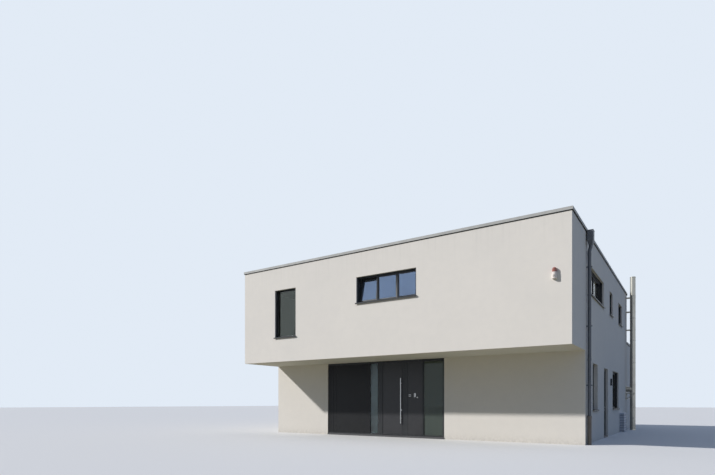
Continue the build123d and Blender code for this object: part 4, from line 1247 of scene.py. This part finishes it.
FRAME_BACK, STILE, PLATE = 26 * MM, 22 * MM, 12 * MM
neck = [(0, 0), (0, 0.008), (0.030, 0.008), (0.030, 0)]
handles = Shape()
for side in ("right", "left", "rear"):
    for own, low, high in panes(f"{side}_window_glass", WALLS[side]):
        handles.axes = own
        u, back, z = high.x + STILE, high.y + FRAME_BACK, (low.z + high.z) / 2
        handles.turned(neck, (u, back + PLATE + HAIR, z), axis=1, sides=16)
        for half, near, far, foot, head, edge in (
            (14 * MM, HAIR, PLATE, -0.035, 0.035, 3 * MM),
            (10 * MM, 34 * MM, 47 * MM, -0.120, 0.014, 4 * MM),
        ):
            handles.box((u - half, back + near, z + foot), (u + half, back + far, z + head), edge)
handles.made("window_handles", "stainless")
print("hinges:", len(islands("door_hinges")), "flue supports:", len(supports))

# %% [markdown]
# ## Siren, lamp and cabinet
# These small fittings are what the eye uses to judge the size of the house. The siren
# gets sound slots and a screw, the lamp a diffuser above and below, and the cabinet
# sloping blades in its louvres.

# %% Siren slots, lamp diffusers and louvre blades
SLOTS, SLOT_STEP, SLOTS_UP, SIREN_SCREW_UP = 6, 10 * MM, 45 * MM, 22 * MM
BAND_DOWN, BAND_UP = 4 * MM, 6 * MM  # below and above the joint with the lamp
siren_low, siren_high = corners("siren_box")
radius = (siren_high.x - siren_low.x) / 2
siren = Vector((siren_low.x + radius, siren_low.y + radius, 0))
foot = siren_low.z + SLOTS_UP
slot = Shape().wrapped(siren, radius + HAIR / 2, 2 * HAIR, -90, 26, (foot, foot + 4 * MM), 8)
slots = Shape().row(slot, "rubber", SLOTS, (0, 0, SLOT_STEP))
slots.made("siren_slots", "rubber", "anthracite")
at = (siren.x, siren_low.y - HAIR, siren_low.z + SIREN_SCREW_UP)
screw(Shape(), at).made("siren_screw", "stainless")
levels = (siren_high.z - BAND_DOWN, siren_high.z + BAND_UP)
band = Shape().wrapped(siren, radius - 5 * MM, 6 * MM, -90, 90, levels, 24)
band.made("siren_band", "siren_white")

DIFFUSER, LAMP_RIM, LAMP_BACK, LAMP_FACE = 3 * MM, 28 * MM, 10 * MM, 8 * MM
lamp_low, lamp_high = corners("wall_lamp")
diffusers = Shape()
for z in (lamp_low.z - DIFFUSER, lamp_high.z + HAIR):
    low = (lamp_low.x + LAMP_BACK, lamp_low.y + LAMP_RIM, z)
    high = (lamp_high.x - LAMP_FACE, lamp_high.y - LAMP_RIM, z + DIFFUSER - HAIR)
    diffusers.box(low, high)
diffusers.made("lamp_diffusers", "board_white", "siren_white")

LID_LAP, LOUVRES, LOUVRE_PITCH, LOUVRE, LOUVRE_DEPTH = 12 * MM, 7, 104 * MM, 46 * MM, 14 * MM
LID_SCREW_DOWN, LID_SCREWS = 20 * MM, (0.08, 0.5, 0.92)  # shares of the lid's length
foot, head = LOUVRE_PITCH / 2 + 2 * MM, LOUVRE_PITCH / 2 + LOUVRE - 3 * MM
section = [(MM, foot - MM), (MM, foot + 6 * MM), (LOUVRE_DEPTH, head)]
blades, lid_screws = Shape(), Shape(RIGHT)
for axes, from_start, from_end in ((RIGHT, 1, 1), (STREET, 0, 1), (REAR, 1, 0)):
    low, high = corners("louvred_cabinet", axes)
    face, start, end = low.y + LID_LAP, low.x + from_start * LID_LAP, high.x - from_end * LID_LAP
    outer, inner = ([(face + d + back, z) for d, z in section] for back in (0, 1.5 * MM))
    blade = Shape(axes).folded(outer, inner, start + 2 * MM, end - 2 * MM)
    blades.row(blade, "blade_grey", LOUVRES, (0, 0, LOUVRE_PITCH))
blades.made("cabinet_blades", "blade_grey", "cabinet_grey")
low, high = corners("louvred_cabinet", RIGHT)
for share in LID_SCREWS:
    at = (low.x + (high.x - low.x) * share, low.y - HAIR, high.z - LID_SCREW_DOWN)
    screw(lid_screws, at)
lid_screws.made("lid_screws", "stainless")
print("cabinet:", [round(c, 3) for c in high - low])

# %% [markdown]
# ## Studio
# A pale floor and a pale backdrop, one soft key light and an even fill. The key
# comes from the front left and halfway up, as the sun does in the photograph, so the
# upper storey throws its shadow on the wall below. The camera, mirrors and glass see
# the pale floor and backdrop. The light that the two give is set apart from that: the
# fill is a dim blue sky, bluer on the shaded side, and the floor gives back as much as
# paving does, or it would light the soffit far more than real ground.

# %% Studio
KEY_FROM = Vector((-1.27, -1.0, 1.0))
key = placed("key", bpy.data.lights.new("key", "SUN"))
key.data.energy = 3.75
key.data.angle = math.radians(2)
key.data.color = (1.0, 0.975, 0.94)
key.rotation_mode = "QUATERNION"
key.rotation_quaternion = KEY_FROM.to_track_quat("Z", "Y")


def is_seen(net):
    """1 for a ray from the camera, a mirror or glass, and 0 for one that only lights."""
    path = net.node("ShaderNodeLightPath").socket.node.outputs
    rays = [Sock(net, path[f"Is {kind} Ray"]) for kind in ("Camera", "Glossy", "Transmission")]
    return (rays[0] + rays[1] + rays[2]).limited()


world = bpy.data.worlds.new("studio")
bpy.context.scene.world = world
world.use_nodes = True
sky = Net(world.node_tree)
rightward = sky.split(sky.node("ShaderNodeTexCoord"))[0]
fill = sky.blend(rightward.between(0.0, 0.7), (0.25, 0.295, 0.38), (0.155, 0.24, 0.42))
colour = sky.blend(is_seen(sky), fill, (0.76, 0.83, 0.92))
sky.tree.links.new(colour.socket, sky.tree.nodes["Background"].inputs["Color"])

REACH = 150.0
plan = [(x, y, 0) for x, y in ((-REACH, -REACH), (REACH, -REACH), (REACH, REACH), (-REACH, REACH))]
floor_mesh = bpy.data.meshes.new("studio_floor")
floor_mesh.from_pydata(plan, [], [(0, 1, 2, 3)])
studio_floor = placed("studio_floor", floor_mesh)
pale = Finish("studio_floor")
pale.set(Base_Color=pale.blend(is_seen(pale), (0.285, 0.268, 0.185), (0.70, 0.70, 0.70)))
pale.set(Roughness=0.95, Specular_IOR_Level=0.1)
floor_mesh.materials.append(finishes["studio_floor"])
